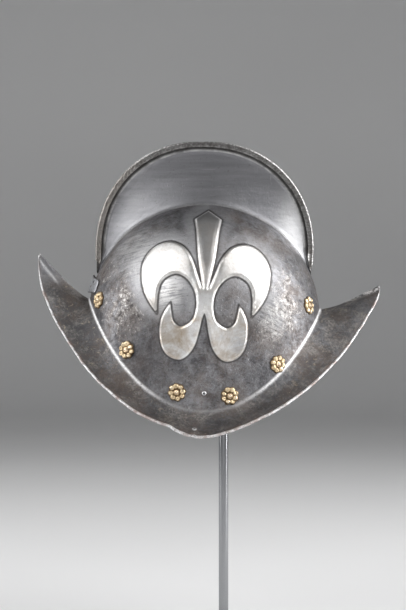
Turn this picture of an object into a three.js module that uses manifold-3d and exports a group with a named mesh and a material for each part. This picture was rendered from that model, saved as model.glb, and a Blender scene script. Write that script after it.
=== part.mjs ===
// Comb morion helmet on a rod stand. Millimetres, +X towards the front peak, +Y to the far side, +Z up.
// The origin is the middle of the stand's underside. The helmet is drawn upright round its own bowl
// centre, near side at -Y, and then leans a little on the stand.
import * as THREE from "three";
import { mergeVertices } from "three/addons/utils/BufferGeometryUtils.js";
import Module from "manifold-3d";

const wasm = await Module();
wasm.setup();

// Sheet steel
const SHEET = 1.3;
const SEAM_GAP = 0.3;
const CLEARANCE = 0.3;

// Bowl: half of an ellipsoid above its widest line and upright walls below it
const BOWL_HALF_LENGTH = 116;
const BOWL_HALF_WIDTH = 94;
const CROWN_HEIGHT = 117;

// Base line, where the bowl turns out into the brim
const BASE_END_HEIGHT = 17;
const BASE_DROP = 84;
const BASE_FULLNESS = 1.46;

// Comb
const COMB_CENTRE_X = -2.5;
const COMB_CENTRE_HEIGHT = 71.5;
const COMB_RADIUS = 107.6;
const COMB_SQUARENESS = 2.14;
const COMB_FOOT_HEIGHT = 43;
const COMB_FOOT_HALF_WIDTH = 15;
const COMB_FOOT_FULLNESS = 0.6;
const COMB_FOOT_LIP = 1.5;
const COMB_REAR_TUCK = 1;
const COMB_FRONT_TUCK = 0.5;
const CREST_HALF_THICKNESS = 2.1;
const BORDER_WIDTH = 9.5;
const BORDER_STEP = 0.7;
const BORDER_RAMP = 0.13;
const COMB_HOLLOW = 1.8;
const FOLD_DEPTH = 5;
const FOLD_SHEET = 1.1;
const FOLD_CLEARANCE = 0.6;

// The most that these may take of the comb's height or thickness where it runs out at its feet
const BORDER_MOST = 0.75;
const STEP_MOST = 0.4;
const FOLD_MOST = 0.6;
const ROOT_MOST = 0.3;

// Brim
const REAR_REACH = 170.5;
const FRONT_REACH = 178.5;
const REAR_TIP_HEIGHT = 61;
const FRONT_TIP_HEIGHT = 43.5;
const BRIM_DROP = 107;
const BRIM_HALF_WIDTH = 120;
const BRIM_PLAN_FULLNESS = 1.9;
const BRIM_PLAN_BLUNTNESS = 0.9;
const BRIM_SAG = 5;
const EDGE_BEAD_RADIUS = 1.4;
const LACE_HOLE_RADIUS = 1.5;
const LACE_HOLE_INSET = 13;
const LACE_HOLE_STATION = 0.498;

// Lily raised on each side
const LILY_TOP = 109;
const LILY_BOTTOM = -36.4;
const LILY_HALF_WIDTH = 62.4;
const LILY_RELIEF = 2;
const LILY_ROOT = 0.9;
const LILY_FINENESS = 1.2;

// The part of the bowl's wall that carries the lily: how far round it starts and how far up it goes
const PATCH_START = THREE.MathUtils.degToRad(50);
const PATCH_LOW = -0.38;
const PATCH_HIGH = 1.4;

// Rosettes and the small rivet
const ROSETTE_RADIUS = 9;
const ROSETTE_HEIGHT = 3.2;
const PETALS = 8;
const PETAL_VALLEY = 0.88;
const SHANK_RADIUS = 1.6;
const SHANK_TAIL = 1;
const SMALL_RIVET_RADIUS = 2.2;
const SMALL_RIVET_HEIGHT = 1;
const SMALL_SHANK_RADIUS = 1.1;
const PUNCH_LENGTH = 12;

// Plate round the back of the bowl
const PLATE_HALF_WIDTH = 31;
const PLATE_BOTTOM = 23.5;
const PLATE_TOP = 41;
const PLATE_SIDE_TOP = 36;
const PLATE_SHEET = 1;
const PLATE_STANDOFF = 2.6;

// Stand
const LEAN = THREE.MathUtils.degToRad(2.4);
const BOWL_CENTRE_HEIGHT = 313.5;
const ROD_FROM_BOWL_CENTRE = 19.5;
const ROD_RADIUS = 4.75;
const BASE_RADIUS = 80;
const BASE_THICKNESS = 8;
const BASE_CHAMFER = 1.5;
const PAD_RADIUS = 32;
const PAD_FOOT_HEIGHT = 406;
const PAD_CLEARANCE = 0.9;

// Mesh fineness
const TINY = 1e-6;
const WELD = 1e-4;
const STATIONS = 30;
const BRIM_ROWS = 3;
const BOWL_ROWS = 12;
const FACE_ROWS = 3;
const CREST_STEPS = 80;
const BEAD_ANGLES = [-90, -30, 30, 90];
const PATCH_TURNS = 12;
const PATCH_CLIMBS = 16;
const PLATE_STEPS = 12;
const ROUND_SIDES = 32;
const PAD_TURNS = 28;
const PAD_CLIMBS = 18;
const ROD_SIDES = 16;
const RIVET_SIDES = 8;
const PUNCH_SIDES = 6;

const STEEL = { color: 0x6f6d6b, roughness: 0.38, metalness: 1 };
const GILT = { color: 0xb8924a, roughness: 0.4, metalness: 1 };
const CHROME = { color: 0xd8dadc, roughness: 0.12, metalness: 1 };
const PLAIN_BLACK = { color: 0x1b1b1c, roughness: 0.5, metalness: 0.2 };
const PAD = { color: 0x2a2624, roughness: 0.9, metalness: 0 };

// The rim seen from the side. "along" is a share of the reach of that end, "rise" is a share of the
// height from the lowest point of the rim to that end's tip.
const RIM = [
  { along: -0.982, rise: 1.0 },
  { along: -1.002, rise: 0.985 },
  { along: -1.0, rise: 0.94 },
  { along: -0.99, rise: 0.89 },
  { along: -0.948, rise: 0.772 },
  { along: -0.875, rise: 0.634 },
  { along: -0.781, rise: 0.5 },
  { along: -0.677, rise: 0.369 },
  { along: -0.541, rise: 0.243 },
  { along: -0.36, rise: 0.122 },
  { along: -0.207, rise: 0.062 },
  { along: -0.073, rise: 0.008 },
  { along: 0.02, rise: 0.0 },
  { along: 0.12, rise: 0.025 },
  { along: 0.262, rise: 0.094 },
  { along: 0.393, rise: 0.171 },
  { along: 0.494, rise: 0.248 },
  { along: 0.579, rise: 0.324 },
  { along: 0.716, rise: 0.478 },
  { along: 0.823, rise: 0.635 },
  { along: 0.951, rise: 0.874 },
  { along: 0.985, rise: 0.955 },
  { along: 1.0, rise: 0.98 },
  { along: 0.98, rise: 1.0 },
];

// Half of the lily, from the top of its middle petal round to the notch at its foot. "out" is a share
// of its half width, "up" is a share of its height, and a corner ends one smooth stretch.
const LILY = [
  { out: 0.0, up: 1.0, corner: true },
  { out: 0.215, up: 0.934, corner: true },
  { out: 0.178, up: 0.842 },
  { out: 0.132, up: 0.665 },
  { out: 0.05, up: 0.476, corner: true },
  { out: 0.135, up: 0.572 },
  { out: 0.226, up: 0.672 },
  { out: 0.36, up: 0.744 },
  { out: 0.55, up: 0.774 },
  { out: 0.74, up: 0.754 },
  { out: 0.896, up: 0.697 },
  { out: 0.99, up: 0.61 },
  { out: 0.985, up: 0.51 },
  { out: 0.93, up: 0.426 },
  { out: 0.833, up: 0.353 },
  { out: 0.72, up: 0.294, corner: true },
  { out: 0.717, up: 0.405 },
  { out: 0.682, up: 0.485 },
  { out: 0.595, up: 0.533 },
  { out: 0.447, up: 0.558 },
  { out: 0.3, up: 0.531 },
  { out: 0.19, up: 0.472 },
  { out: 0.135, up: 0.4 },
  { out: 0.14, up: 0.322 },
  { out: 0.197, up: 0.258 },
  { out: 0.345, up: 0.22 },
  { out: 0.457, up: 0.25 },
  { out: 0.495, up: 0.305 },
  { out: 0.52, up: 0.373, corner: true },
  { out: 0.6, up: 0.322 },
  { out: 0.66, up: 0.257 },
  { out: 0.672, up: 0.168 },
  { out: 0.625, up: 0.077 },
  { out: 0.518, up: 0.02 },
  { out: 0.353, up: 0.0 },
  { out: 0.228, up: 0.03 },
  { out: 0.13, up: 0.092 },
  { out: 0.07, up: 0.18 },
  { out: 0.03, up: 0.268 },
  { out: 0.0, up: 0.31, corner: true },
];

// Rosettes of one side. "along" is a share of the bowl's half length, "above" is a share of the crown's
// height, measured up from the base line.
const ROSETTES = [
  { name: "1", along: -0.891, above: 0.188 },
  { name: "2", along: -0.628, above: 0.151 },
  { name: "3", along: -0.197, above: 0.115 },
  { name: "4", along: 0.234, above: 0.091 },
  { name: "5", along: 0.62, above: 0.094 },
  { name: "6", along: 0.872, above: 0.248 },
];
const SMALL_RIVET = { along: 0.024, above: 0.145 };

// Heads from their edge to their middle, as shares of their radius and height
const ROSETTE_HEAD = [
  { out: 1, up: 0 },
  { out: 0.9, up: 0.6 },
  { out: 0.4, up: 0.6 },
  { out: 0, up: 1 },
];
const RIVET_HEAD = [
  { out: 1, up: 0 },
  { out: 0.7, up: 0.9 },
  { out: 0, up: 1 },
];

const ellipsoidAngle = (height) => Math.asin(height / CROWN_HEIGHT);

// Point of the bowl on the near side: "turn" goes from the back to the front, "climb" from the widest
// line up to the middle plane. Below the widest line the wall is upright and "climb" is negative.
function bowlPoint(turn, climb) {
  const up = climb >= 0;
  const reach = Math.sin(turn);
  return new THREE.Vector3(
    -BOWL_HALF_LENGTH * Math.cos(turn),
    -BOWL_HALF_WIDTH * reach * (up ? Math.cos(climb) : 1),
    CROWN_HEIGHT * reach * (up ? Math.sin(climb) : climb),
  );
}

function bowlNormal(point) {
  return new THREE.Vector3(
    point.x / BOWL_HALF_LENGTH ** 2,
    point.y / BOWL_HALF_WIDTH ** 2,
    Math.max(point.z, 0) / CROWN_HEIGHT ** 2,
  ).normalize();
}

// Near-side point of the bowl that lies at x and z
function bowlPointAt(x, z) {
  const left = 1 - (x / BOWL_HALF_LENGTH) ** 2 - (Math.max(z, 0) / CROWN_HEIGHT) ** 2;
  return new THREE.Vector3(x, -BOWL_HALF_WIDTH * Math.sqrt(Math.max(left, 0)), z);
}

function baseLine(share) {
  const start = ellipsoidAngle(BASE_END_HEIGHT);
  const turn = start + (Math.PI - 2 * start) * share;
  const sweep = Math.sin(Math.PI * share) ** BASE_FULLNESS;
  const height = BASE_END_HEIGHT - (BASE_END_HEIGHT + BASE_DROP) * sweep;
  const climb = height / (CROWN_HEIGHT * Math.sin(turn));
  return { turn, climb: climb >= 0 ? Math.asin(Math.min(climb, 1)) : climb };
}

function baseHeightAt(x) {
  const start = ellipsoidAngle(BASE_END_HEIGHT);
  const turn = Math.acos(THREE.MathUtils.clamp(-x / BOWL_HALF_LENGTH, -1, 1));
  const share = THREE.MathUtils.clamp((turn - start) / (Math.PI - 2 * start), 0, 1);
  return BASE_END_HEIGHT - (BASE_END_HEIGHT + BASE_DROP) * Math.sin(Math.PI * share) ** BASE_FULLNESS;
}

function combFootLine(share) {
  const start = ellipsoidAngle(COMB_FOOT_HEIGHT);
  const turn = start + (Math.PI - 2 * start) * share;
  const halfWidth = COMB_FOOT_HALF_WIDTH * Math.sin(Math.PI * share) ** COMB_FOOT_FULLNESS;
  const climb = Math.acos(Math.min(halfWidth / (BOWL_HALF_WIDTH * Math.sin(turn)), 1));
  return { turn, climb, halfWidth };
}

// Crest in the middle plane, from the back foot over the top to the front foot
function makeCrest() {
  const foot = bowlPoint(ellipsoidAngle(COMB_FOOT_HEIGHT), Math.PI / 2);
  const points = [new THREE.Vector2(foot.x, foot.z)];
  const power = 2 / COMB_SQUARENESS;
  const sideHeight = COMB_FOOT_HEIGHT + COMB_FOOT_LIP;
  points.push(new THREE.Vector2(COMB_CENTRE_X - COMB_RADIUS + COMB_REAR_TUCK, sideHeight));
  for (let i = 0; i <= CREST_STEPS; i += 1) {
    const angle = (Math.PI * i) / CREST_STEPS;
    const across = Math.sign(Math.cos(angle)) * Math.abs(Math.cos(angle)) ** power;
    const up = Math.abs(Math.sin(angle)) ** power;
    const height = COMB_CENTRE_HEIGHT + COMB_RADIUS * up;
    points.push(new THREE.Vector2(COMB_CENTRE_X - COMB_RADIUS * across, height));
  }
  points.push(new THREE.Vector2(COMB_CENTRE_X + COMB_RADIUS - COMB_FRONT_TUCK, sideHeight));
  points.push(new THREE.Vector2(-foot.x, foot.z));
  const path = new THREE.CurvePath();
  for (let i = 1; i < points.length; i += 1) {
    path.add(new THREE.LineCurve(points[i - 1], points[i]));
  }
  return path;
}

function brimHalfWidthAt(x) {
  const reach = x < 0 ? REAR_REACH : FRONT_REACH;
  const tips = Math.max(1 - Math.abs(x / reach) ** BRIM_PLAN_FULLNESS, 0);
  return BRIM_HALF_WIDTH * tips ** BRIM_PLAN_BLUNTNESS;
}

function makeRim() {
  const points = RIM.map(({ along, rise }) => {
    const rear = along < 0;
    const x = along * (rear ? REAR_REACH : FRONT_REACH);
    const tip = rear ? REAR_TIP_HEIGHT : FRONT_TIP_HEIGHT;
    return new THREE.Vector3(x, -brimHalfWidthAt(x), -BRIM_DROP + (tip + BRIM_DROP) * rise);
  });
  points[0].y = 0;
  points[points.length - 1].y = 0;
  return new THREE.CatmullRomCurve3(points);
}

const crest = makeCrest();
const rim = makeRim();

// The comb at one station: "up" goes from its foot on the bowl to the crest
function combAt(share) {
  const foot = combFootLine(share);
  const low = bowlPoint(foot.turn, foot.climb);
  const high = crest.getPointAt(share);
  const rise = Math.hypot(high.x - low.x, high.y - low.z);
  const thin = Math.min(CREST_HALF_THICKNESS, foot.halfWidth);
  const halfThickness = (up) => thin + (foot.halfWidth - thin) * Math.max(1 - up, 0) ** COMB_HOLLOW;
  const point = (up, raised) =>
    new THREE.Vector3(
      THREE.MathUtils.lerp(low.x, high.x, up),
      -halfThickness(up) - raised,
      THREE.MathUtils.lerp(low.z, high.y, up),
    );
  const outward = new THREE.Vector2(high.x - low.x, high.y - low.z).divideScalar(Math.max(rise, TINY));
  const slant = Math.abs(outward.cross(crest.getTangentAt(share)));
  const shareOf = (depth, most) => Math.min(depth / Math.max(slant * rise, TINY), most);
  return { thin, point, shareOf };
}

// One section of the near half's outer face, from the rim up to the crest
function outerRow(share) {
  const row = [];
  const base = baseLine(share);
  const foot = combFootLine(share);
  const basePoint = bowlPoint(base.turn, base.climb);
  const rimPoint = rim.getPointAt(share);
  for (let i = 0; i < BRIM_ROWS; i += 1) {
    const inward = i / BRIM_ROWS;
    const point = rimPoint.clone().lerp(basePoint, inward);
    point.z -= BRIM_SAG * Math.sin(Math.PI * inward) * inward;
    row.push({ point, zone: "brim" });
  }
  for (let i = 0; i <= BOWL_ROWS; i += 1) {
    const up = i / BOWL_ROWS;
    const turn = THREE.MathUtils.lerp(base.turn, foot.turn, up);
    const climb = THREE.MathUtils.lerp(base.climb, foot.climb, up);
    row.push({ point: bowlPoint(turn, climb), zone: "bowl" });
  }
  const comb = combAt(share);
  const border = comb.shareOf(BORDER_WIDTH, BORDER_MOST);
  const ramp = border * BORDER_RAMP;
  const step = Math.min(BORDER_STEP, comb.thin * STEP_MOST);
  for (let i = 1; i <= FACE_ROWS; i += 1) {
    row.push({ point: comb.point(((1 - border) * i) / FACE_ROWS, -step), zone: "comb" });
  }
  row.push({ point: comb.point(1 - border + ramp, 0), zone: "comb" });
  row.push({ point: comb.point(1, 0), zone: "comb" });
  return row;
}

// Outward normal of the grid at one place, from its neighbours
function gridNormal(rows, i, j) {
  const [before, after] = [rows[Math.max(i - 1, 0)], rows[Math.min(i + 1, rows.length - 1)]];
  const along = after[j].point.clone().sub(before[j].point);
  const last = rows[i].length - 1;
  const up = rows[i][Math.min(j + 1, last)].point.clone().sub(rows[i][Math.max(j - 1, 0)].point);
  return along.cross(up).normalize();
}

// The near half as a closed loop at each station: rolled edge, outer face up, inner face down
function nearHalfRings() {
  const middle = -SEAM_GAP / 2;
  const rows = [];
  for (let i = 0; i <= STATIONS; i += 1) {
    const share = i / STATIONS;
    rows.push(outerRow(share));
  }
  return rows.map((row, i) => {
    const ends = i === 0 || i === rows.length - 1;
    const outer = [];
    const inner = [];
    row.forEach(({ point, zone }, j) => {
      const normal = gridNormal(rows, i, j);
      if (ends) {
        normal.y = 0;
        normal.normalize();
      }
      const outside = point.clone();
      outside.y = Math.min(outside.y, middle);
      const inside = point.clone().addScaledVector(normal, -SHEET);
      if (zone === "comb") {
        inside.set(point.x, point.y + SHEET, point.z);
      }
      inside.y = Math.min(inside.y, middle);
      outer.push(outside);
      inner.push(inside);
    });
    const down = outer[0].clone().sub(outer[1]).normalize();
    const normal = gridNormal(rows, i, 0);
    if (ends) {
      normal.y = 0;
      normal.normalize();
    }
    const heart = outer[0].clone().addScaledVector(normal, -SHEET / 2);
    heart.addScaledVector(down, -EDGE_BEAD_RADIUS);
    const bead = BEAD_ANGLES.map((degrees) => {
      const angle = THREE.MathUtils.degToRad(degrees);
      const point = heart.clone();
      point.addScaledVector(down, EDGE_BEAD_RADIUS * Math.cos(angle));
      point.addScaledVector(normal, EDGE_BEAD_RADIUS * Math.sin(angle));
      point.y = Math.min(point.y, middle);
      return point;
    });
    return [bead[2], bead[3], ...outer.slice(1), ...inner.slice(1).reverse(), bead[0], bead[1]];
  });
}

// Closed mesh through a list of closed rings. Point k of a ring faces point count - 1 - k across the
// sheet, so each end is closed by a ladder between the two faces.
function loft(rings) {
  const count = rings[0].length;
  const positions = [];
  rings.forEach((ring) => ring.forEach((p) => positions.push(p.x, p.y, p.z)));
  const index = [];
  for (let i = 0; i + 1 < rings.length; i += 1) {
    for (let j = 0; j < count; j += 1) {
      const a = i * count + j;
      const b = i * count + ((j + 1) % count);
      index.push(a, a + count, b, b, a + count, b + count);
    }
  }
  const close = (start, flip) => {
    for (let k = 0; k + 1 < count / 2; k += 1) {
      const [a, b, c, d] = [k, k + 1, count - 2 - k, count - 1 - k].map((m) => start + m);
      index.push(...(flip ? [a, c, b, a, d, c] : [a, b, c, a, c, d]));
    }
  };
  close(0, false);
  close((rings.length - 1) * count, true);
  const geometry = new THREE.BufferGeometry();
  geometry.setAttribute("position", new THREE.Float32BufferAttribute(positions, 3));
  geometry.setIndex(index);
  return geometry;
}

function solid(geometry) {
  const bare = geometry.clone();
  bare.deleteAttribute("normal");
  bare.deleteAttribute("uv");
  const merged = mergeVertices(bare, WELD);
  const source = merged.index.array;
  const triVerts = [];
  for (let i = 0; i < source.length; i += 3) {
    const [a, b, c] = [source[i], source[i + 1], source[i + 2]];
    if (a !== b && b !== c && c !== a) {
      triVerts.push(a, b, c);
    }
  }
  const mesh = new wasm.Mesh({
    numProp: 3,
    vertProperties: new Float32Array(merged.attributes.position.array),
    triVerts: new Uint32Array(triVerts),
  });
  mesh.merge();
  return new wasm.Manifold(mesh);
}

function geometryOf(manifold) {
  const { vertProperties, triVerts, numProp } = manifold.getMesh();
  const geometry = new THREE.BufferGeometry();
  const positions = new Float32Array((vertProperties.length / numProp) * 3);
  for (let i = 0; i < positions.length / 3; i += 1) {
    positions.set(vertProperties.subarray(i * numProp, i * numProp + 3), i * 3);
  }
  geometry.setAttribute("position", new THREE.BufferAttribute(positions, 3));
  geometry.setIndex(new THREE.BufferAttribute(new Uint32Array(triVerts), 1));
  geometry.computeVertexNormals();
  return geometry;
}

// The same solid on the other side of the middle plane
const mirrored = (manifold) => manifold.mirror([0, 1, 0]);

// The lily's outline as a flat shape, with smooth stretches between its corners
function lilyShape() {
  const toPoint = ({ out, up }, side) =>
    new THREE.Vector2(side * out * LILY_HALF_WIDTH, LILY_BOTTOM + up * (LILY_TOP - LILY_BOTTOM));
  const walk = (rows, side) => {
    const outline = [];
    let stretch = [rows[0]];
    rows.slice(1).forEach((row) => {
      stretch.push(row);
      if (row.corner) {
        const curve = new THREE.SplineCurve(stretch.map((r) => toPoint(r, side)));
        const pieces = Math.max(1, Math.round((stretch.length - 1) * LILY_FINENESS));
        outline.push(...curve.getPoints(pieces).slice(0, -1));
        stretch = [row];
      }
    });
    return outline;
  };
  const front = walk(LILY, 1);
  const rear = walk([...LILY].reverse(), -1);
  return new THREE.Shape([...front, ...rear]);
}

// A thick copy of the bowl's near wall, from a little inside its face to the lily's height
function lilyBlank() {
  const rings = [];
  for (let i = 0; i <= PATCH_TURNS; i += 1) {
    const turn = THREE.MathUtils.lerp(PATCH_START, Math.PI - PATCH_START, i / PATCH_TURNS);
    const outer = [];
    const inner = [];
    for (let j = 0; j <= PATCH_CLIMBS; j += 1) {
      const point = bowlPoint(turn, THREE.MathUtils.lerp(PATCH_LOW, PATCH_HIGH, j / PATCH_CLIMBS));
      const normal = bowlNormal(point);
      outer.push(point.clone().addScaledVector(normal, LILY_RELIEF));
      inner.push(point.clone().addScaledVector(normal, -LILY_ROOT));
    }
    rings.push([...outer, ...inner.reverse()]);
  }
  return solid(loft(rings));
}

function lilyRelief() {
  const depth = BOWL_HALF_WIDTH + 2 * LILY_RELIEF;
  const prism = new THREE.ExtrudeGeometry(lilyShape(), { depth, bevelEnabled: false, steps: 1 });
  prism.rotateX(Math.PI / 2);
  return lilyBlank().intersect(solid(prism));
}

// Turns geometry drawn along +Z so that it stands on the bowl at a point, along the outward normal
function stoodAt(geometry, point, outward) {
  const turn = new THREE.Quaternion().setFromUnitVectors(new THREE.Vector3(0, 0, 1), outward);
  return geometry.clone().applyQuaternion(turn).translate(point.x, point.y, point.z);
}

function rivetSeat({ along, above }) {
  const x = along * BOWL_HALF_LENGTH;
  const point = bowlPointAt(x, baseHeightAt(x) + above * CROWN_HEIGHT);
  return { point, outward: bowlNormal(point) };
}

// Turned shape along +Z from rows of radius and height
function turned(rows, sides) {
  const profile = rows.map(({ radius, height }) => new THREE.Vector2(radius, height));
  return new THREE.LatheGeometry(profile, sides).rotateX(Math.PI / 2);
}

// A headed rivet along +Z in one piece with its shank, which passes through the bowl
function headed(head, { radius, height, shank, sides }) {
  const tail = -SHEET - CLEARANCE - SHANK_TAIL;
  return turned(
    [
      { radius: 0, height: tail },
      { radius: shank, height: tail },
      { radius: shank, height: 0 },
      ...head.map(({ out, up }) => ({ radius: out * radius, height: up * height })),
    ],
    sides,
  );
}

function rosetteGeometry() {
  const size = { radius: ROSETTE_RADIUS, height: ROSETTE_HEIGHT, shank: SHANK_RADIUS, sides: 2 * PETALS };
  const geometry = headed(ROSETTE_HEAD, size);
  const place = geometry.attributes.position;
  const petalled = ROSETTE_RADIUS / 2;
  for (let i = 0; i < place.count; i += 1) {
    const radius = Math.hypot(place.getX(i), place.getY(i));
    const angle = Math.atan2(place.getY(i), place.getX(i));
    const scale = radius > petalled && Math.cos(PETALS * angle) < 0 ? PETAL_VALLEY : 1;
    place.setXY(i, place.getX(i) * scale, place.getY(i) * scale);
  }
  return geometry;
}

function smallRivetGeometry() {
  return headed(RIVET_HEAD, {
    radius: SMALL_RIVET_RADIUS,
    height: SMALL_RIVET_HEIGHT,
    shank: SMALL_SHANK_RADIUS,
    sides: RIVET_SIDES,
  });
}

// Round punch that makes a hole through the sheet
function punch(radius, point, outward) {
  const cylinder = new THREE.CylinderGeometry(radius, radius, PUNCH_LENGTH, PUNCH_SIDES).rotateX(Math.PI / 2);
  return solid(stoodAt(cylinder, point, outward));
}

function laceHole() {
  const share = LACE_HOLE_STATION;
  const rimPoint = rim.getPointAt(share);
  const base = baseLine(share);
  const basePoint = bowlPoint(base.turn, base.climb);
  const inward = basePoint.clone().sub(rimPoint).normalize();
  const along = rim.getTangentAt(share);
  const outward = along.clone().cross(inward).normalize();
  return punch(LACE_HOLE_RADIUS, rimPoint.clone().addScaledVector(inward, LACE_HOLE_INSET), outward);
}

function plainHalf() {
  let half = solid(loft(nearHalfRings())).add(lilyRelief());
  [...ROSETTES, SMALL_RIVET].forEach((row) => {
    const { point, outward } = rivetSeat(row);
    const shank = row === SMALL_RIVET ? SMALL_SHANK_RADIUS : SHANK_RADIUS;
    half = half.subtract(punch(shank + CLEARANCE, point, outward));
  });
  return half.subtract(laceHole());
}

// The strip of the far half that is folded over the near half's crest
function crestFold() {
  const rings = [];
  const gap = SEAM_GAP / 2;
  const wall = CREST_HALF_THICKNESS + CLEARANCE;
  for (let i = 1; i < STATIONS; i += 1) {
    const comb = combAt(i / STATIONS);
    const depth = comb.shareOf(FOLD_DEPTH, FOLD_MOST);
    const top = comb.shareOf(CLEARANCE + FOLD_SHEET, FOLD_MOST);
    const slot = comb.shareOf(CLEARANCE, FOLD_MOST);
    const root = comb.shareOf(SHEET, ROOT_MOST);
    const skin = FOLD_CLEARANCE - comb.point(1 - depth, 0).y;
    const section = [
      { across: -skin - FOLD_SHEET, up: 1 - depth },
      { across: -wall - FOLD_SHEET, up: 1 + top },
      { across: wall + FOLD_SHEET, up: 1 + top },
      { across: wall + FOLD_SHEET, up: 1 - 2 * root },
      { across: gap, up: 1 - root },
      { across: gap, up: 1 + slot },
      { across: -wall, up: 1 + slot },
      { across: -skin, up: 1 - depth },
    ];
    rings.push(section.map(({ across, up }) => {
      const flat = comb.point(up, 0);
      return new THREE.Vector3(flat.x, across, flat.z);
    }));
  }
  return solid(loft(rings));
}

// Plate that wraps the back of the bowl under the comb's foot. Its sides lie on the bowl and its
// middle stands off.
function backPlate() {
  const rings = [];
  for (let i = 0; i <= PLATE_STEPS; i += 1) {
    const share = THREE.MathUtils.lerp(1, -1, i / PLATE_STEPS);
    const proud = CLEARANCE + PLATE_STANDOFF * (1 - share ** 2);
    const y = share * PLATE_HALF_WIDTH;
    const top = THREE.MathUtils.lerp(PLATE_TOP, PLATE_SIDE_TOP, Math.abs(share));
    const place = (z, lift) => {
      const left = 1 - (y / BOWL_HALF_WIDTH) ** 2 - (z / CROWN_HEIGHT) ** 2;
      const point = new THREE.Vector3(-BOWL_HALF_LENGTH * Math.sqrt(left), y, z);
      return point.addScaledVector(bowlNormal(point), lift);
    };
    const heights = [PLATE_BOTTOM, (PLATE_BOTTOM + top) / 2, top];
    const outside = heights.map((z) => place(z, proud + PLATE_SHEET));
    const inside = heights.map((z) => place(z, proud));
    rings.push([...outside, ...inside.reverse()]);
  }
  return solid(loft(rings));
}

// Pad on top of the rod: its top follows the inside of the crown, its foot is flat
function rodPad() {
  const inside = new THREE.SphereGeometry(1, PAD_TURNS, PAD_CLIMBS).rotateX(Math.PI / 2);
  const shrink = SHEET + PAD_CLEARANCE;
  inside.scale(BOWL_HALF_LENGTH - shrink, BOWL_HALF_WIDTH - shrink, CROWN_HEIGHT - shrink);
  inside.rotateY(LEAN).translate(-ROD_FROM_BOWL_CENTRE, 0, BOWL_CENTRE_HEIGHT);
  const height = 2 * CROWN_HEIGHT;
  const column = new THREE.CylinderGeometry(PAD_RADIUS, PAD_RADIUS, height, ROUND_SIDES).rotateX(Math.PI / 2);
  column.translate(0, 0, PAD_FOOT_HEIGHT + height / 2);
  return solid(inside).intersect(solid(column));
}

function standBase() {
  return turned(
    [
      { radius: 0, height: 0 },
      { radius: BASE_RADIUS, height: 0 },
      { radius: BASE_RADIUS, height: BASE_THICKNESS - BASE_CHAMFER },
      { radius: BASE_RADIUS - BASE_CHAMFER, height: BASE_THICKNESS },
      { radius: 0, height: BASE_THICKNESS },
    ],
    ROUND_SIDES,
  );
}

function rod() {
  const bottom = BASE_THICKNESS + CLEARANCE;
  const top = PAD_FOOT_HEIGHT - CLEARANCE;
  const geometry = new THREE.CylinderGeometry(ROD_RADIUS, ROD_RADIUS, top - bottom, ROD_SIDES);
  return geometry.rotateX(Math.PI / 2).translate(0, 0, (top + bottom) / 2);
}

function piece(name, geometry, finish) {
  const mesh = new THREE.Mesh(geometry, new THREE.MeshStandardMaterial(finish));
  mesh.name = name;
  return mesh;
}

function makeHelmet() {
  const helmet = new THREE.Group();
  const half = plainHalf();
  helmet.add(piece("skull_near_half", geometryOf(half), STEEL));
  helmet.add(piece("skull_far_half", geometryOf(mirrored(half).add(crestFold())), STEEL));
  helmet.add(piece("back_plate", geometryOf(backPlate()), STEEL));
  const sides = [
    { side: "near", flip: 1 },
    { side: "far", flip: -1 },
  ];
  sides.forEach(({ side, flip }) => {
    [...ROSETTES, SMALL_RIVET].forEach((row) => {
      const { point, outward } = rivetSeat(row);
      const place = new THREE.Vector3(point.x, point.y * flip, point.z);
      const facing = new THREE.Vector3(outward.x, outward.y * flip, outward.z);
      place.addScaledVector(facing, CLEARANCE);
      const small = row === SMALL_RIVET;
      const shape = stoodAt(small ? smallRivetGeometry() : rosetteGeometry(), place, facing);
      const name = small ? `small_rivet_${side}` : `rosette_${side}_${row.name}`;
      helmet.add(piece(name, shape, small ? STEEL : GILT));
    });
  });
  helmet.rotation.y = LEAN;
  helmet.position.set(-ROD_FROM_BOWL_CENTRE, 0, BOWL_CENTRE_HEIGHT);
  return helmet;
}

function makeStand() {
  const stand = new THREE.Group();
  stand.add(piece("stand_base", standBase(), PLAIN_BLACK));
  stand.add(piece("stand_rod", rod(), CHROME));
  stand.add(piece("rod_pad", geometryOf(rodPad()), PAD));
  return stand;
}

const morion = new THREE.Group();
morion.add(makeHelmet(), makeStand());
export default morion;
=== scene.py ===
"""Looks of the comb morion on its rod stand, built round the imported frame.

Shapes are drawn in millimetres in the helmet's own upright frame, near side at -Y, as the part's
source does, and then lean on the stand and turn to metres.
"""

import math
import bmesh
import bpy
import numpy as np
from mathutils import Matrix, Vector


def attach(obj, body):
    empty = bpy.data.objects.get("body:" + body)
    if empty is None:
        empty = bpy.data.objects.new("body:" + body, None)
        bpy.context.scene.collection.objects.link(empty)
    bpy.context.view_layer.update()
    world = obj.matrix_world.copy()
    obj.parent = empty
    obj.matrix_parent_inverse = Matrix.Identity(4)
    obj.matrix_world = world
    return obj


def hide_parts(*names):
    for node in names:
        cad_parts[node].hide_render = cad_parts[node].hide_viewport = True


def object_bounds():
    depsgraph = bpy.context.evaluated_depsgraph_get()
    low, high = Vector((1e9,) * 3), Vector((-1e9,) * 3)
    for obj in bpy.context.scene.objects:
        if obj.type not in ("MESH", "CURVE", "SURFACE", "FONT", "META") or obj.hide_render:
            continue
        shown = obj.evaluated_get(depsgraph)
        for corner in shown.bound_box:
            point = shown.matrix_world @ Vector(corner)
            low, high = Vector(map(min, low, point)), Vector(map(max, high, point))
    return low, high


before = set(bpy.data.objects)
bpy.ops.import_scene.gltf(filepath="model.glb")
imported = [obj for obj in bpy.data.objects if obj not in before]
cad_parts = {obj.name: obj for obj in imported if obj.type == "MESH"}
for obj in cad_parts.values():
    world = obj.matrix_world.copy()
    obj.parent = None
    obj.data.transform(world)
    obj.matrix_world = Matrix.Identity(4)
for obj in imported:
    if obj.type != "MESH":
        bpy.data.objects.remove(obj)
cad_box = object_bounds()

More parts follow.
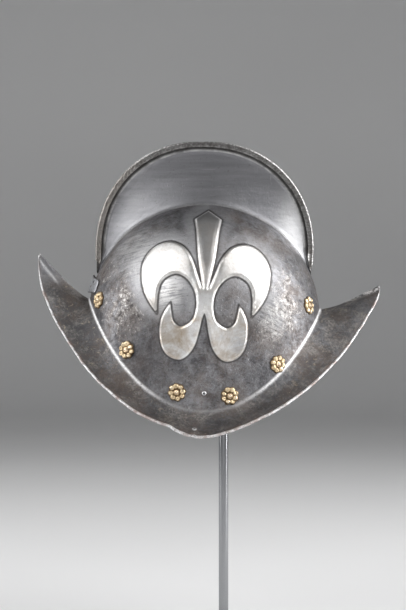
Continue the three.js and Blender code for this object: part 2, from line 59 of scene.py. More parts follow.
# Sheet, bowl and base line
SHEET = 1.3
SEAM_GAP = 0.3
CLEARANCE = 0.3
BOWL_HALF_LENGTH = 116.0
BOWL_HALF_WIDTH = 94.0
CROWN_HEIGHT = 117.0
BASE_END_HEIGHT = 17.0
BASE_DROP = 84.0
BASE_FULLNESS = 1.46
BASE_FILLET = 3.6

# Comb
COMB_CENTRE_X = -2.5
COMB_CENTRE_HEIGHT = 71.5
COMB_RADIUS = 107.6
COMB_SQUARENESS = 2.14
COMB_FOOT_HEIGHT = 43.0
COMB_FOOT_HALF_WIDTH = 15.0
COMB_FOOT_LIP = 1.5
COMB_FOOT_FILLET = 3.0
CREST_HALF_THICKNESS = 2.1
BORDER_WIDTH = 9.5
BORDER_STEP = 0.7
BORDER_RAMP = 1.5
COMB_HOLLOW = 1.8
FOLD_DEPTH = 5.0
FOLD_SHEET = 1.1
FOLD_CLEARANCE = 0.6
ROPE_PITCH = 5.2

# Brim
REAR_REACH = 170.5
FRONT_REACH = 178.5
REAR_TIP_HEIGHT = 61.0
FRONT_TIP_HEIGHT = 43.5
BRIM_DROP = 107.0
BRIM_HALF_WIDTH = 120.0
BRIM_PLAN_FULLNESS = 1.9
BRIM_PLAN_BLUNTNESS = 0.9
BRIM_SAG = 5.0
EDGE_BEAD_RADIUS = 1.4
BEAD_TURN = 120.0
BEAD_ROWS = 11
BEAD_GAPS = (0.1, 0.6)
LACE_HOLE_RADIUS = 1.5
LACE_HOLE_INSET = 13.0
LACE_HOLE_STATION = 0.498

# Lily, rosettes, rivets and back plate
LILY_TOP = 109.0
LILY_BOTTOM = -36.4
LILY_HALF_WIDTH = 62.4
LILY_RELIEF = 2.0
LILY_BEVEL = 1.8
LILY_FAR = -24.0
LILY_RELAY = -9.0
LILY_CONTOURS = ((0.0, 0.62), (LILY_BEVEL, 0.55))
PETAL_HALF_WIDTH = 15.0
PETAL_FOOT = 30.0
BLADE_HALF_WIDTH = 5.2
GROOVE_DEPTH = 0.32
ROSETTE_RADIUS = 9.0
ROSETTE_HEIGHT = 3.2
KNOBS = 8
KNOB_PLACE = 5.95
KNOB_RADIUS = 2.55
KNOB_HEIGHT = 1.8
MIDDLE_KNOB_RADIUS = 2.9
MIDDLE_KNOB_HEIGHT = 2.0
PLATE_HALF_WIDTH = 31.0
PLATE_BOTTOM = 23.5
PLATE_TOP = 41.0
PLATE_SIDE_TOP = 36.0
PLATE_SHEET = 1.0
PLATE_STANDOFF = 2.6
PLATE_CORNER = 3.0
PLATE_HOLE_RADIUS = 1.5
PLATE_HOLE_PLACE = 21.0

# Stand
LEAN = math.radians(2.4)
BOWL_CENTRE_HEIGHT = 313.5
ROD_FROM_BOWL_CENTRE = 19.5
ROD_RADIUS = 4.75
BASE_RADIUS = 80.0
BASE_THICKNESS = 8.0
PAD_RADIUS = 32.0
PAD_FOOT_HEIGHT = 406.0
PAD_CLEARANCE = 0.9
PAD_ROOF_START = 405.0
PAD_ROOF_ROUNDS = 40

# The most that a cut may take of the stretch that it lies on
BRIM_CUT_MOST = 0.4
LOW_CUT_MOST = 0.3
HIGH_CUT_MOST = 0.2
COMB_CUT_MOST = 0.12
BORDER_MOST = 0.75
RAMP_MOST = 0.1
STEP_MOST = 0.4
FOLD_MOST = 0.6

# Wear of the sheet: shortest and longest waves, depths, and nicks as depth, place and width
HAMMER_WAVES = (22, 80)
DENT_WAVES = (6, 22)
EDGE_WAVES = (7, 40)
HAMMER_BRIM = 0.34
HAMMER_BOWL = 0.2
HAMMER_COMB = 0.12
DENT_BRIM = 0.045
DENT_ALL = 0.02
EDGE_WEAR = 0.35
EDGE_CALM = 30
EDGE_NICKS = ((1.1, -5.5, 1.7), (0.9, -30.0, 5.0))
TIP_CREASE_LIFT = 0.9

# Mesh fineness
STATIONS = 280
BRIM_ROWS = 15
FILLET_ROWS = 8
BOWL_ROWS = 148
FOOT_ROWS = 4
FACE_ROWS = 14
BORDER_ROWS = 6
BOWL_SAMPLES = 13
STRIP_STATIONS = 680
PLATE_COLUMNS = 61
PLATE_LEVELS = 17
PLATE_HOLE_ROW = 12
HOLE_REACH = 3
ROSETTE_RINGS = 34
ROSETTE_SIDES = 112
PAD_SIDES = 96

RIM = [
    (-0.982, 1.0), (-1.002, 0.985), (-1.0, 0.94), (-0.99, 0.89), (-0.948, 0.772), (-0.875, 0.634),
    (-0.781, 0.5), (-0.677, 0.369), (-0.541, 0.243), (-0.36, 0.122), (-0.207, 0.062), (-0.073, 0.008),
    (0.02, 0.0), (0.12, 0.025), (0.262, 0.094), (0.393, 0.171), (0.494, 0.248), (0.579, 0.324),
    (0.716, 0.478), (0.823, 0.635), (0.951, 0.874), (0.985, 0.955), (1.0, 0.98), (0.98, 1.0),
]

# Half outline of the lily, cut into its smooth stretches: out and up as shares of its size
LILY = [
    [(0.0, 1.0), (0.215, 0.934)],
    [(0.215, 0.934), (0.178, 0.842), (0.132, 0.665), (0.05, 0.476)],
    [
        (0.05, 0.476), (0.135, 0.572), (0.226, 0.672), (0.36, 0.744), (0.55, 0.774), (0.74, 0.754),
        (0.896, 0.697), (0.99, 0.61), (0.985, 0.51), (0.93, 0.426), (0.833, 0.353), (0.72, 0.294),
    ],
    [
        (0.72, 0.294), (0.717, 0.405), (0.682, 0.485), (0.595, 0.533), (0.447, 0.558), (0.3, 0.531),
        (0.19, 0.472), (0.135, 0.4), (0.14, 0.322), (0.197, 0.258), (0.345, 0.22), (0.457, 0.25),
        (0.495, 0.305), (0.52, 0.373),
    ],
    [
        (0.52, 0.373), (0.6, 0.322), (0.66, 0.257), (0.672, 0.168), (0.625, 0.077), (0.518, 0.02),
        (0.353, 0.0), (0.228, 0.03), (0.13, 0.092), (0.07, 0.18), (0.03, 0.268), (0.0, 0.31),
    ],
]

ROSETTES = [
    ("1", -0.891, 0.188), ("2", -0.628, 0.151), ("3", -0.197, 0.115),
    ("4", 0.234, 0.091), ("5", 0.62, 0.094), ("6", 0.872, 0.248),
]
SMALL_RIVET = (0.024, 0.145)

# Turned outlines as rows of radius and height; tails have depth below the sheet instead
SMALL_RIVET_HEAD = (
    (0, 0.95), (0.55, 0.86), (0.85, 0.5), (1.15, 0.5), (1.5, 0.9), (1.9, 0.7), (2.2, 0.1), (2.1, 0), (0, 0),
)
SMALL_RIVET_TAIL = ((0, 0.9), (0.9, 0.7), (1.3, 0.2), (1.2, 0), (0, 0))
ROSETTE_TAIL = ((0, 1.25), (1.3, 1.15), (2.2, 0.75), (2.5, 0.25), (2.4, 0), (0, 0))

# Outline of the pad: share of its radius and share of the rise from its foot to its top
PAD_ROWS = (
    (0.3, 0), (0.6, 0), (0.86, 0), (0.95, 0.02), (0.985, 0.1), (0.998, 0.2), (1.0, 0.42), (1.0, 0.47),
    (0.985, 0.495), (0.985, 0.505), (1.0, 0.53), (1.0, 0.75), (0.995, 0.9), (0.97, 0.97), (0.92, 1.0),
    (0.8, 1.0), (0.6, 1.0), (0.35, 1.0), (0.12, 1.0),
)

# What each row of a half is marked with
MARKS = ("brim", "comb", "border", "ridge", "rimward", "step")
PAST_BRIM = 20
FAR_FROM_RIM = 99
SHORT_COMB = 14
STEP_SHINE = (0.6, 1.0, 0.8)

# Marks of the rolled edge, and of the four rings of the lace hole, where they are not 0
BEAD_MARKS = {"brim": 1.0, "lily": LILY_FAR}
HOLE_MARKS = {
    "brim": (1, 1, 1, 1), "lily": (LILY_FAR,) * 4, "rimward": (20, 20, 20, 20), "ridge": (0, 1, 0, 0),
    "inside": (0, 0, 1, 1),
}

# Soft spots of paint: strength, place along and up, half length and half height. The patina spots are crust;
# the spots after them are painted light: highlights on the bowl where the lamps reflect, a highlight on the
# comb's right side and a shade on the bowl's low left part
PATINA = ((1.0, 78, 14, 30, 46),)
HIGHLIGHT_SPOTS = ((1.0, -36, 28, 13, 15), (0.4, -68, 66, 24, 24), (0.5, 66, 4, 12, 20))
COMB_HIGHLIGHT_SPOTS = ((1.0, 88, 100, 15, 36),)
LOW_SHADE_SPOTS = ((1.0, -54, -34, 28, 30),)
BRUSH_CENTRE_DROP = 130

# Crease across the rear tip in the side view
TIP_CREASE = ((-167.2, 54.7), (-148.5, 33.6))

# Colours of the old steel
GROUND_LIGHT, GROUND_DARK = (0.30, 0.30, 0.313), (0.10, 0.098, 0.104)
BRIM_GREY, RUST, STAIN = (0.115, 0.113, 0.115), (0.22, 0.165, 0.13), (0.13, 0.105, 0.088)
CRUST_PIT, CRUST_BROWN, CRUST_CREAM = (0.055, 0.049, 0.046), (0.26, 0.236, 0.222), (0.80, 0.785, 0.77)
# Painted light on the bowl: a shade on its low left part, a lighter band round the lily that is partly
# polish and partly highlight, and highlights where the lamps reflect
LOW_SHADE_GREY, HALO_AND_HIGHLIGHT_GREY, PAINTED_HIGHLIGHT_COLOUR = (0.07, 0.068, 0.072), (0.47, 0.47, 0.485), (0.86, 0.85, 0.84)
BLOTCH_DARK, BLOTCH_LIGHT, BRIM_OCHRE = (0.125, 0.118, 0.114), (0.37, 0.352, 0.335), (0.42, 0.36, 0.28)
# The last colour on this line is a painted highlight on the comb's lower sides
COMB_DARK, COMB_LIGHT, COMB_HIGHLIGHT_COLOUR = (0.20, 0.20, 0.212), (0.26, 0.26, 0.272), (0.74, 0.74, 0.75)
BORDER_LIGHT, BORDER_DARK, STEP_BRIGHT = (0.10, 0.098, 0.097), (0.062, 0.059, 0.057), (0.80, 0.79, 0.78)
# The last colour on this line is a painted shade on the petal's face
SILVER, SILVER_WORN, PETAL_SHADE_GREY = (0.86, 0.855, 0.85), (0.66, 0.635, 0.61), (0.30, 0.295, 0.295)
LILY_OCHRE, LILY_BLUE, CONTOUR_DARK = (0.47, 0.375, 0.275), (0.40, 0.415, 0.465), (0.07, 0.066, 0.064)
EDGE_BRIGHT, EDGE_DIRT, EDGE_RUST = (0.90, 0.895, 0.90), (0.08, 0.07, 0.065), (0.29, 0.19, 0.155)
SEAM_BRIGHT, SPOT_DARK, SCRATCH_LIGHT = (0.8, 0.79, 0.78), (0.075, 0.066, 0.06), (0.66, 0.655, 0.65)
# The last colour on this line is a painted highlight along the rear tip's crease
TIP_GREY, CREASE_HIGHLIGHT = (0.27, 0.27, 0.285), (0.78, 0.78, 0.79)
INSIDE_DARK, INSIDE_LIGHT = (0.055, 0.046, 0.04), (0.125, 0.1, 0.082)

# Stage, in metres and watts: lights as name, azimuth, height, distance, size and power
FLOOR_RADIUS = 3.5
FLOOR_BEND = 1.0
FLOOR_DROP = 0.0002
FLOOR_SIDES = 120
WALL_HEIGHT = 3.6
PAPER_GLOW = 0.06
AIR_STRENGTH = 0.03
HELMET_PLACE = (-0.02, 0, 0.33)
BACKDROP_PLACE = (0, 4.4, 0.9)
CAMERA_PLACE = (-0.0205, -1.694, 0.330)
CAMERA_LENS = 100
CAMERA_SENSOR = 36
LIGHTS = (
    ("left_key", -46, 36, 1.7, (1.0, 1.2), 13),
    ("right_key", 57, 41, 1.7, (1.1, 1.2), 15),
    ("left_side", -88, 12, 1.6, (0.4, 1.2), 9),
    ("right_side", 85, 13, 1.6, (0.45, 1.3), 17),
    ("overhead", 0, 84, 1.7, (1.3, 0.9), 1.2),
    ("front_fill", 3, 0, 2.2, (2.2, 0.6), 1.0),
    ("front_strip", 4, 3, 2.1, (0.2, 0.5), 1.8),
    ("back_left", -142, 42, 1.8, (0.9, 0.9), 5),
    ("back_right", 142, 42, 1.8, (0.9, 0.9), 5),
)


# Small helpers

def lerp(a, b, t):
    return a + (b - a) * t


def ease(t):
    t = np.clip(t, 0, 1)
    return t * t * (3 - 2 * t)


def bell(gap, width):
    return np.exp(-(gap / width) ** 2)


def spots(x, z, rows):
    """Sum of soft spots over places in the side view."""
    return sum(size * bell(x - at_x, wide) * bell(z - at_z, high) for size, at_x, at_z, wide, high in rows)


def unit(v):
    return v / np.maximum(np.linalg.norm(v, axis=-1, keepdims=True), 1e-9)


class Unevenness:
    """Smooth seeded unevenness of about -1 to 1, by place in millimetres."""

    def __init__(self, seed, shortest, longest, waves=26):
        rng = np.random.default_rng(seed)
        length = shortest * (longest / shortest) ** rng.random(waves)
        self.turn = unit(rng.normal(size=(waves, 3))) * (2 * math.pi / length)[:, None]
        self.phase = rng.random(waves) * 2 * math.pi
        self.size = (length / longest) ** 0.6
        self.size /= math.sqrt((self.size ** 2).sum() / 2) * 1.6

    def __call__(self, place):
        total = np.zeros(place.shape[:-1])
        for turn, phase, size in zip(self.turn, self.phase, self.size):
            total += size * np.sin(place @ turn + phase)
        return total


# The helmet's surfaces

def bowl_point(turn, climb):
    up = climb >= 0
    reach = np.sin(turn)
    return np.stack([
        -BOWL_HALF_LENGTH * np.cos(turn) + 0 * climb,
        -BOWL_HALF_WIDTH * reach * np.where(up, np.cos(climb), 1),
        CROWN_HEIGHT * reach * np.where(up, np.sin(climb), climb),
    ], -1)


def bowl_normal(p):
    return unit(np.stack([
        p[..., 0] / BOWL_HALF_LENGTH ** 2,
        p[..., 1] / BOWL_HALF_WIDTH ** 2,
        np.maximum(p[..., 2], 0) / CROWN_HEIGHT ** 2,
    ], -1))


def bowl_point_at(x, z):
    left = 1 - (x / BOWL_HALF_LENGTH) ** 2 - (np.maximum(z, 0) / CROWN_HEIGHT) ** 2
    return np.stack([x + 0 * z, -BOWL_HALF_WIDTH * np.sqrt(np.maximum(left, 0)), z + 0 * x], -1)


def on_bowl(p):
    """p moved along the bowl's normal onto the bowl."""
    for _ in range(3):
        high = np.maximum(p[..., 2], 0)
        miss = (p[..., 0] / BOWL_HALF_LENGTH) ** 2 + (p[..., 1] / BOWL_HALF_WIDTH) ** 2
        miss = miss + (high / CROWN_HEIGHT) ** 2 - 1
        slope = 2 * np.stack([
            p[..., 0] / BOWL_HALF_LENGTH ** 2, p[..., 1] / BOWL_HALF_WIDTH ** 2, high / CROWN_HEIGHT ** 2,
        ], -1)
        p = p - slope * (miss / np.maximum((slope ** 2).sum(-1), 1e-12))[..., None]
    return p


def base_line(share):
    start = math.asin(BASE_END_HEIGHT / CROWN_HEIGHT)
    turn = start + (math.pi - 2 * start) * share
    height = BASE_END_HEIGHT - (BASE_END_HEIGHT + BASE_DROP) * np.sin(math.pi * share) ** BASE_FULLNESS
    climb = height / (CROWN_HEIGHT * np.sin(turn))
    return turn, np.where(climb >= 0, np.arcsin(np.clip(climb, 0, 1)), climb)


def base_height_at(x):
    start = math.asin(BASE_END_HEIGHT / CROWN_HEIGHT)
    turn = math.acos(max(-1, min(1, -x / BOWL_HALF_LENGTH)))
    share = max(0, min(1, (turn - start) / (math.pi - 2 * start)))
    return BASE_END_HEIGHT - (BASE_END_HEIGHT + BASE_DROP) * math.sin(math.pi * share) ** BASE_FULLNESS


def comb_foot(share):
    start = math.asin(COMB_FOOT_HEIGHT / CROWN_HEIGHT)
    turn = start + (math.pi - 2 * start) * share
    half_width = COMB_FOOT_HALF_WIDTH * np.maximum(np.sin(math.pi * share), 0) ** 0.6
    climb = np.arccos(np.minimum(half_width / (BOWL_HALF_WIDTH * np.sin(turn)), 1))
    return turn, climb, half_width


def make_crest():
    foot = BOWL_HALF_LENGTH * math.sqrt(1 - (COMB_FOOT_HEIGHT / CROWN_HEIGHT) ** 2)
    power = 2 / COMB_SQUARENESS
    side = COMB_FOOT_HEIGHT + COMB_FOOT_LIP
    rows = [(-foot, COMB_FOOT_HEIGHT), (COMB_CENTRE_X - COMB_RADIUS + 1, side)]
    for angle in np.linspace(0, math.pi, 321):
        across = np.sign(math.cos(angle)) * abs(math.cos(angle)) ** power
        up = abs(math.sin(angle)) ** power
        rows.append((COMB_CENTRE_X - COMB_RADIUS * across, COMB_CENTRE_HEIGHT + COMB_RADIUS * up))
    rows += [(COMB_CENTRE_X + COMB_RADIUS - 0.5, side), (foot, COMB_FOOT_HEIGHT)]
    return np.array(rows)


def along_line(rows, share):
    """Points at shares of a polyline's length."""
    step = np.linalg.norm(np.diff(rows, axis=0), axis=1)
    run = np.concatenate([[0], np.cumsum(step)])
    run /= run[-1]
    return np.stack([np.interp(share, run, rows[:, k]) for k in range(rows.shape[1])], -1)


def make_rim():
    rows = []
    for along, rise in RIM:
        reach, tip = (REAR_REACH, REAR_TIP_HEIGHT) if along < 0 else (FRONT_REACH, FRONT_TIP_HEIGHT)
        x = along * reach
        tips = max(1 - abs(x / reach) ** BRIM_PLAN_FULLNESS, 0)
        height = -BRIM_DROP + (tip + BRIM_DROP) * rise
        rows.append((x, -BRIM_HALF_WIDTH * tips ** BRIM_PLAN_BLUNTNESS, height))
    rows = np.array(rows)
    rows[[0, -1], 1] = 0
    rows = np.vstack([2 * rows[0] - rows[1], rows, 2 * rows[-1] - rows[-2]])
    line = []
    for p0, p1, p2, p3 in zip(rows, rows[1:], rows[2:], rows[3:]):
        d0, d1, d2 = [np.linalg.norm(q - p) ** 0.5 for p, q in ((p0, p1), (p1, p2), (p2, p3))]
        m1 = ((p1 - p0) / d0 - (p2 - p0) / (d0 + d1) + (p2 - p1) / d1) * d1
        m2 = ((p2 - p1) / d1 - (p3 - p1) / (d1 + d2) + (p3 - p2) / d2) * d1
        t = np.linspace(0, 1, 40, endpoint=False)[:, None]
        line.append(
            p1 * (2 * t ** 3 - 3 * t ** 2 + 1) + m1 * (t ** 3 - 2 * t ** 2 + t)
            + p2 * (3 * t ** 2 - 2 * t ** 3) + m2 * (t ** 3 - t ** 2)
        )
    line.append(rows[-2][None])
    return np.vstack(line)


CREST = make_crest()
RIM_LINE = make_rim()


class Comb:
    """The comb at each station. up goes from its foot on the bowl to the crest."""

    def __init__(self, share):
        turn, climb, self.half_width = comb_foot(share)
        self.low = bowl_point(turn, climb)
        self.high = along_line(CREST, share)
        ahead = along_line(CREST, np.minimum(share + 0.002, 1))
        tangent = unit(ahead - along_line(CREST, np.maximum(share - 0.002, 0)))
        reach = self.high - self.low[:, [0, 2]]
        rise = np.linalg.norm(reach, axis=1)
        out = reach / np.maximum(rise, 1e-6)[:, None]
        slant = np.abs(out[:, 0] * tangent[:, 1] - out[:, 1] * tangent[:, 0])
        self.size = np.maximum(slant * rise, 1e-6)
        self.thin = np.minimum(CREST_HALF_THICKNESS, self.half_width)

    def share_of(self, depth, most):
        return np.minimum(depth / self.size, most)

    def half_thickness(self, up):
        return self.thin + (self.half_width - self.thin) * np.maximum(1 - up, 0) ** COMB_HOLLOW

    def point(self, up, raised):
        return np.stack([
            lerp(self.low[:, 0], self.high[:, 0], up),
            -self.half_thickness(up) - raised,
            lerp(self.low[:, 2], self.high[:, 1], up),
        ], -1)


# The lily

def smooth_stretch(rows, pieces):
    rows = np.array(rows)
    rows = np.vstack([rows[0], rows, rows[-1]])
    out = []
    for p0, p1, p2, p3 in zip(rows, rows[1:], rows[2:], rows[3:]):
        t = np.linspace(0, 1, pieces, endpoint=False)[:, None]
        m1, m2 = (p2 - p0) / 2, (p3 - p1) / 2
        cubed, squared = 2 * p1 - 2 * p2 + m1 + m2, -3 * p1 + 3 * p2 - 2 * m1 - m2
        out.append(cubed * t ** 3 + squared * t ** 2 + m1 * t + p1)
    return np.vstack(out)


def lily_outline():
    half = np.vstack([smooth_stretch(rows, 8) for rows in LILY] + [np.array([[0.0, 0.31]])])
    half = half * [LILY_HALF_WIDTH, LILY_TOP - LILY_BOTTOM] + [0, LILY_BOTTOM]
    return np.vstack([half, (half * [-1, 1])[::-1][1:-1]])


OUTLINE = lily_outline()


def lily_distance(place):
    """Signed distance in millimetres to the lily's outline, positive inside, and its slope."""
    a, b = OUTLINE, np.roll(OUTLINE, -1, axis=0)
    edge = b - a
    length = np.maximum((edge ** 2).sum(1), 1e-9)
    distance = np.zeros(len(place))
    slope = np.zeros((len(place), 2))
    for start in range(0, len(place), 4000):
        p = place[start:start + 4000, None, :]
        t = np.clip(((p - a) * edge).sum(-1) / length, 0, 1)
        gap = p - (a + t[..., None] * edge)
        far = (gap ** 2).sum(-1)
        nearest = far.argmin(1)
        rows = np.arange(len(nearest))
        crosses = (a[:, 1] > p[..., 1]) != (b[:, 1] > p[..., 1])
        rise = np.where(np.abs(edge[:, 1]) < 1e-9, 1e-9, edge[:, 1])
        crosses &= p[..., 0] < a[:, 0] + (p[..., 1] - a[:, 1]) * edge[:, 0] / rise
        sign = np.where(crosses.sum(1) % 2 == 1, 1.0, -1.0)
        size = np.sqrt(far[rows, nearest])
        distance[start:start + 4000] = sign * size
        slope[start:start + 4000] = sign[:, None] * gap[rows, nearest] / np.maximum(size, 1e-6)[:, None]
    return distance, slope


# Mesh helpers

def to_row(p):
    """Helmet frame in millimetres to row frame in metres."""
    x = p[:, 0] * math.cos(LEAN) + p[:, 2] * math.sin(LEAN) - ROD_FROM_BOWL_CENTRE
    z = -p[:, 0] * math.sin(LEAN) + p[:, 2] * math.cos(LEAN) + BOWL_CENTRE_HEIGHT
    return np.stack([x, p[:, 1], z], -1) / 1000


def inside_box(points):
    """Eases the outermost points back so that they stay within the CAD model's box."""
    points = points.copy()
    for axis, zone in ((0, 0.005), (1, 0.002), (2, 0.002)):
        for sign, limit in ((-1, cad_box[0][axis]), (1, cad_box[1][axis])):
            depth = sign * limit - sign * points[:, axis] - 0.0001
            eased = zone * np.exp(np.minimum(depth / zone - 1, 0))
            points[:, axis] = sign * (sign * limit - 0.0001 - np.where(depth < zone, eased, depth))
    return points


def make_object(name, points, faces, marks=None, sharp=60):
    """Object from vertices in metres and a list of faces, with float marks on its points."""
    mesh = bpy.data.meshes.new(name)
    mesh.from_pydata([tuple(p) for p in points.tolist()], [], [tuple(f) for f in faces])
    for key, values in (marks or {}).items():
        layer = mesh.attributes.new(key, "FLOAT", "POINT")
        layer.data.foreach_set("value", np.asarray(values, dtype=np.float32))
    shape = bmesh.new()
    shape.from_mesh(mesh)
    bmesh.ops.recalc_face_normals(shape, faces=shape.faces)
    shape.to_mesh(mesh)
    shape.free()
    mesh.polygons.foreach_set("use_smooth", np.ones(len(mesh.polygons), dtype=bool))
    mesh.set_sharp_from_angle(angle=math.radians(sharp))
    mesh.update()
    thing = bpy.data.objects.new(name, mesh)
    bpy.context.scene.collection.objects.link(thing)
    return thing


def quads_of(grid, around=False):
    """Quads over a grid of vertex numbers, closed across its columns if around."""
    right = np.roll(grid, -1, axis=1) if around else grid[:, 1:]
    left = grid if around else grid[:, :-1]
    return np.stack([left[:-1], right[:-1], right[1:], left[1:]], -1).reshape(-1, 4)


def band(one, two):
    """Quads between two closed loops of vertex numbers."""
    return np.stack([one, np.roll(one, -1), np.roll(two, -1), two], -1)


def fan(centre, ring, backwards=False):
    """Triangles from a centre to a closed ring of vertex numbers."""
    after = np.roll(ring, -1)
    pairs = zip(after, ring) if backwards else zip(ring, after)
    return [[centre, int(a), int(b)] for a, b in pairs]


def border_of(block):
    return np.concatenate([block[0, :-1], block[:-1, -1], block[-1, :0:-1], block[:0:-1, 0]])


def open_hole(points, faces, blocks, centres, radius, lift):
    """Cuts a round hole through two facing blocks of vertex numbers and joins their edges."""
    loops = []
    for block, (centre, normal) in zip(blocks, centres):
        inside = np.isin(faces, block).all(1)
        faces = faces[~inside]
        edge = border_of(block)
        out = points[edge] - centre
        out = unit(out - (out @ normal)[:, None] * normal)
        for reach, raised in ((radius + 1.1, 0.0), (radius, lift)):
            fresh = np.arange(len(points), len(points) + len(edge))
            points = np.vstack([points, centre + out * reach + normal * raised])
            faces = np.vstack([faces, band(edge, fresh)])
            edge = fresh
        loops.append(edge)
    return points, np.vstack([faces, band(*loops)])


def dress(thing, slot_name, *nodes):
    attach(thing, "root")
    if nodes:
        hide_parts(*nodes)
    return thing


def turned(profile, sides):
    """Lathe from rows of radius and height, first and last on the axis."""
    angle = np.linspace(0, 2 * math.pi, sides, endpoint=False)
    points = [(0, 0, profile[0][1])]
    rings = []
    for radius, height in profile[1:-1]:
        rings.append(np.arange(len(points), len(points) + sides))
        points += [(radius * math.cos(t), radius * math.sin(t), height) for t in angle]
    points.append((0, 0, profile[-1][1]))
    caps = fan(0, rings[0]) + fan(len(points) - 1, rings[-1], True)
    return np.array(points), quads_of(np.array(rings), True).tolist() + caps


def corner(radius, height, size, quarter):
    """Rows that round the outer corner of a lathe profile. quarter 0 is the low one, 1 the high one."""
    bend = [(size * math.sin(t), size * math.cos(t)) for t in np.linspace(0, math.pi / 2, 5)]
    if quarter == 0:
        return [(radius - size + sine, height + size - cosine) for sine, cosine in bend]
    return [(radius - size + cosine, height - size + sine) for sine, cosine in bend]


# A half of the skull

def worn_rim(share, base, seed):
    """The rim's line, worn inwards and nicked here and there."""
    rim = along_line(RIM_LINE, share)
    inward = EDGE_WEAR + EDGE_WEAR * Unevenness(seed + 5, *EDGE_WAVES)(rim)
    for depth, place, width in EDGE_NICKS:
        inward += depth * bell(rim[:, 0] - place, width)
    inward *= ease(share * EDGE_CALM) * ease((1 - share) * EDGE_CALM)
    return rim + unit(base - rim) * np.maximum(inward, 0)[:, None]


def half_rows(seed):
    """Outer rows of the near half by station, their marks by name, and the bowl's first and last row."""
    share = np.linspace(0, 1, STATIONS + 1)
    base_turn, base_climb = base_line(share)
    foot_turn, foot_climb, _ = comb_foot(share)
    base = bowl_point(base_turn, base_climb)
    rim = worn_rim(share, base, seed)
    brim_size = np.maximum(np.linalg.norm(base - rim, axis=1), 1)
    comb = Comb(share)

    def brim(t):
        p = lerp(rim, base, t[:, None])
        p[:, 2] -= BRIM_SAG * np.sin(math.pi * t) * t
        return p

    def bowl(u):
        return bowl_point(lerp(base_turn, foot_turn, u), lerp(base_climb, foot_climb, u))

    steps = [bowl(np.full_like(share, u)) for u in np.linspace(0, 1, BOWL_SAMPLES)]
    bowl_size = np.maximum(sum(np.linalg.norm(q - p, axis=1) for p, q in zip(steps, steps[1:])), 1)
    brim_cut = np.minimum(BASE_FILLET / brim_size, BRIM_CUT_MOST)
    low_cut = np.minimum(BASE_FILLET / bowl_size, LOW_CUT_MOST)
    high_cut = np.minimum(COMB_FOOT_FILLET / bowl_size, HIGH_CUT_MOST)
    comb_cut = comb.share_of(COMB_FOOT_FILLET, COMB_CUT_MOST)
    border = comb.share_of(BORDER_WIDTH, BORDER_MOST)
    ramp = comb.share_of(BORDER_RAMP, RAMP_MOST)
    step = np.minimum(BORDER_STEP, comb.thin * STEP_MOST)
    tall = comb.size > SHORT_COMB
    # The ridge's bright paint is partly a painted highlight: strongest at the sides, faint in the middle
    ridge_highlight_share = 0.2 + 0.8 * ease((np.abs(base[:, 0]) - 20) / 60)
    past_brim = brim_size + PAST_BRIM
    rows, marks = [], []

    def add(p, **values):
        rows.append(p)
        marks.append([values.get(key, 0.0) + 0 * share for key in MARKS])

    def add_round(count, start, towards, end, marks_at):
        for i in range(1, count + 1):
            t = i / (count + 1)
            add((1 - t) ** 2 * start + 2 * t * (1 - t) * towards + t ** 2 * end, **marks_at(t))

    add(brim(0 * share), brim=1.0)
    shares = [(2 * EDGE_BEAD_RADIUS + gap) / brim_size for gap in BEAD_GAPS]
    shares += [lerp(shares[-1], 1 - brim_cut, i / (BRIM_ROWS - 3)) for i in range(1, BRIM_ROWS - 2)]
    for t in shares:
        add(brim(t), brim=1.0, rimward=t * brim_size)
    add_round(FILLET_ROWS, brim(1 - brim_cut), base, bowl(low_cut), lambda t: {
        "brim": 1 - t, "ridge": math.sin(math.pi * t) ** 4 * ridge_highlight_share, "rimward": brim_size,
    })
    first_bowl = len(rows)
    for i in range(BOWL_ROWS + 1):
        add(bowl(lerp(low_cut, 1 - high_cut, i / BOWL_ROWS)), rimward=past_brim)
    last_bowl = len(rows)
    crease = comb.point(0 * share, 0 * step)
    add_round(FOOT_ROWS, bowl(1 - high_cut), crease, comb.point(comb_cut, -step), lambda t: {
        "comb": t, "ridge": 0.7 * math.sin(math.pi * t), "rimward": past_brim,
    })
    for i in range(FACE_ROWS + 1):
        add(comb.point(lerp(comb_cut, 1 - border, i / FACE_ROWS), -step), comb=1.0, rimward=FAR_FROM_RIM)
    for i, shine in enumerate(STEP_SHINE, 1):
        t = i / len(STEP_SHINE)
        p = comb.point(1 - border + ramp * t, -step * (1 - t))
        add(p, comb=1.0, border=0.2 * i, step=shine * tall, rimward=FAR_FROM_RIM)
    for i in range(1, BORDER_ROWS + 1):
        up = lerp(1 - border + ramp, 1 + 0 * share, i / BORDER_ROWS)
        add(comb.point(up, 0), comb=1.0, border=1.0, rimward=FAR_FROM_RIM)
    by_name = dict(zip(MARKS, np.array(marks).transpose(1, 0, 2)))
    return np.array(rows), by_name, (first_bowl, last_bowl)


def grid_normals(p):
    along, up = np.empty_like(p), np.empty_like(p)
    along[:, 1:-1] = p[:, 2:] - p[:, :-2]
    along[:, 0] = p[:, 1] - p[:, 0]
    along[:, -1] = p[:, -1] - p[:, -2]
    up[1:-1] = p[2:] - p[:-2]
    up[0] = p[1] - p[0]
    up[-1] = p[-1] - p[-2]
    normal = np.cross(along, up)
    size = np.linalg.norm(normal, axis=-1, keepdims=True)
    normal = np.where(size > 1e-9, normal / np.maximum(size, 1e-9), [0, -1, 0])
    for column, inner in ((0, 1), (-1, -2)):
        flat = normal[:, inner].copy()
        flat[:, 1] = 0
        level = np.linalg.norm(flat, axis=-1, keepdims=True) > 0.05
        normal[:, column] = np.where(level, unit(flat), [0, -1, 0])
    return normal


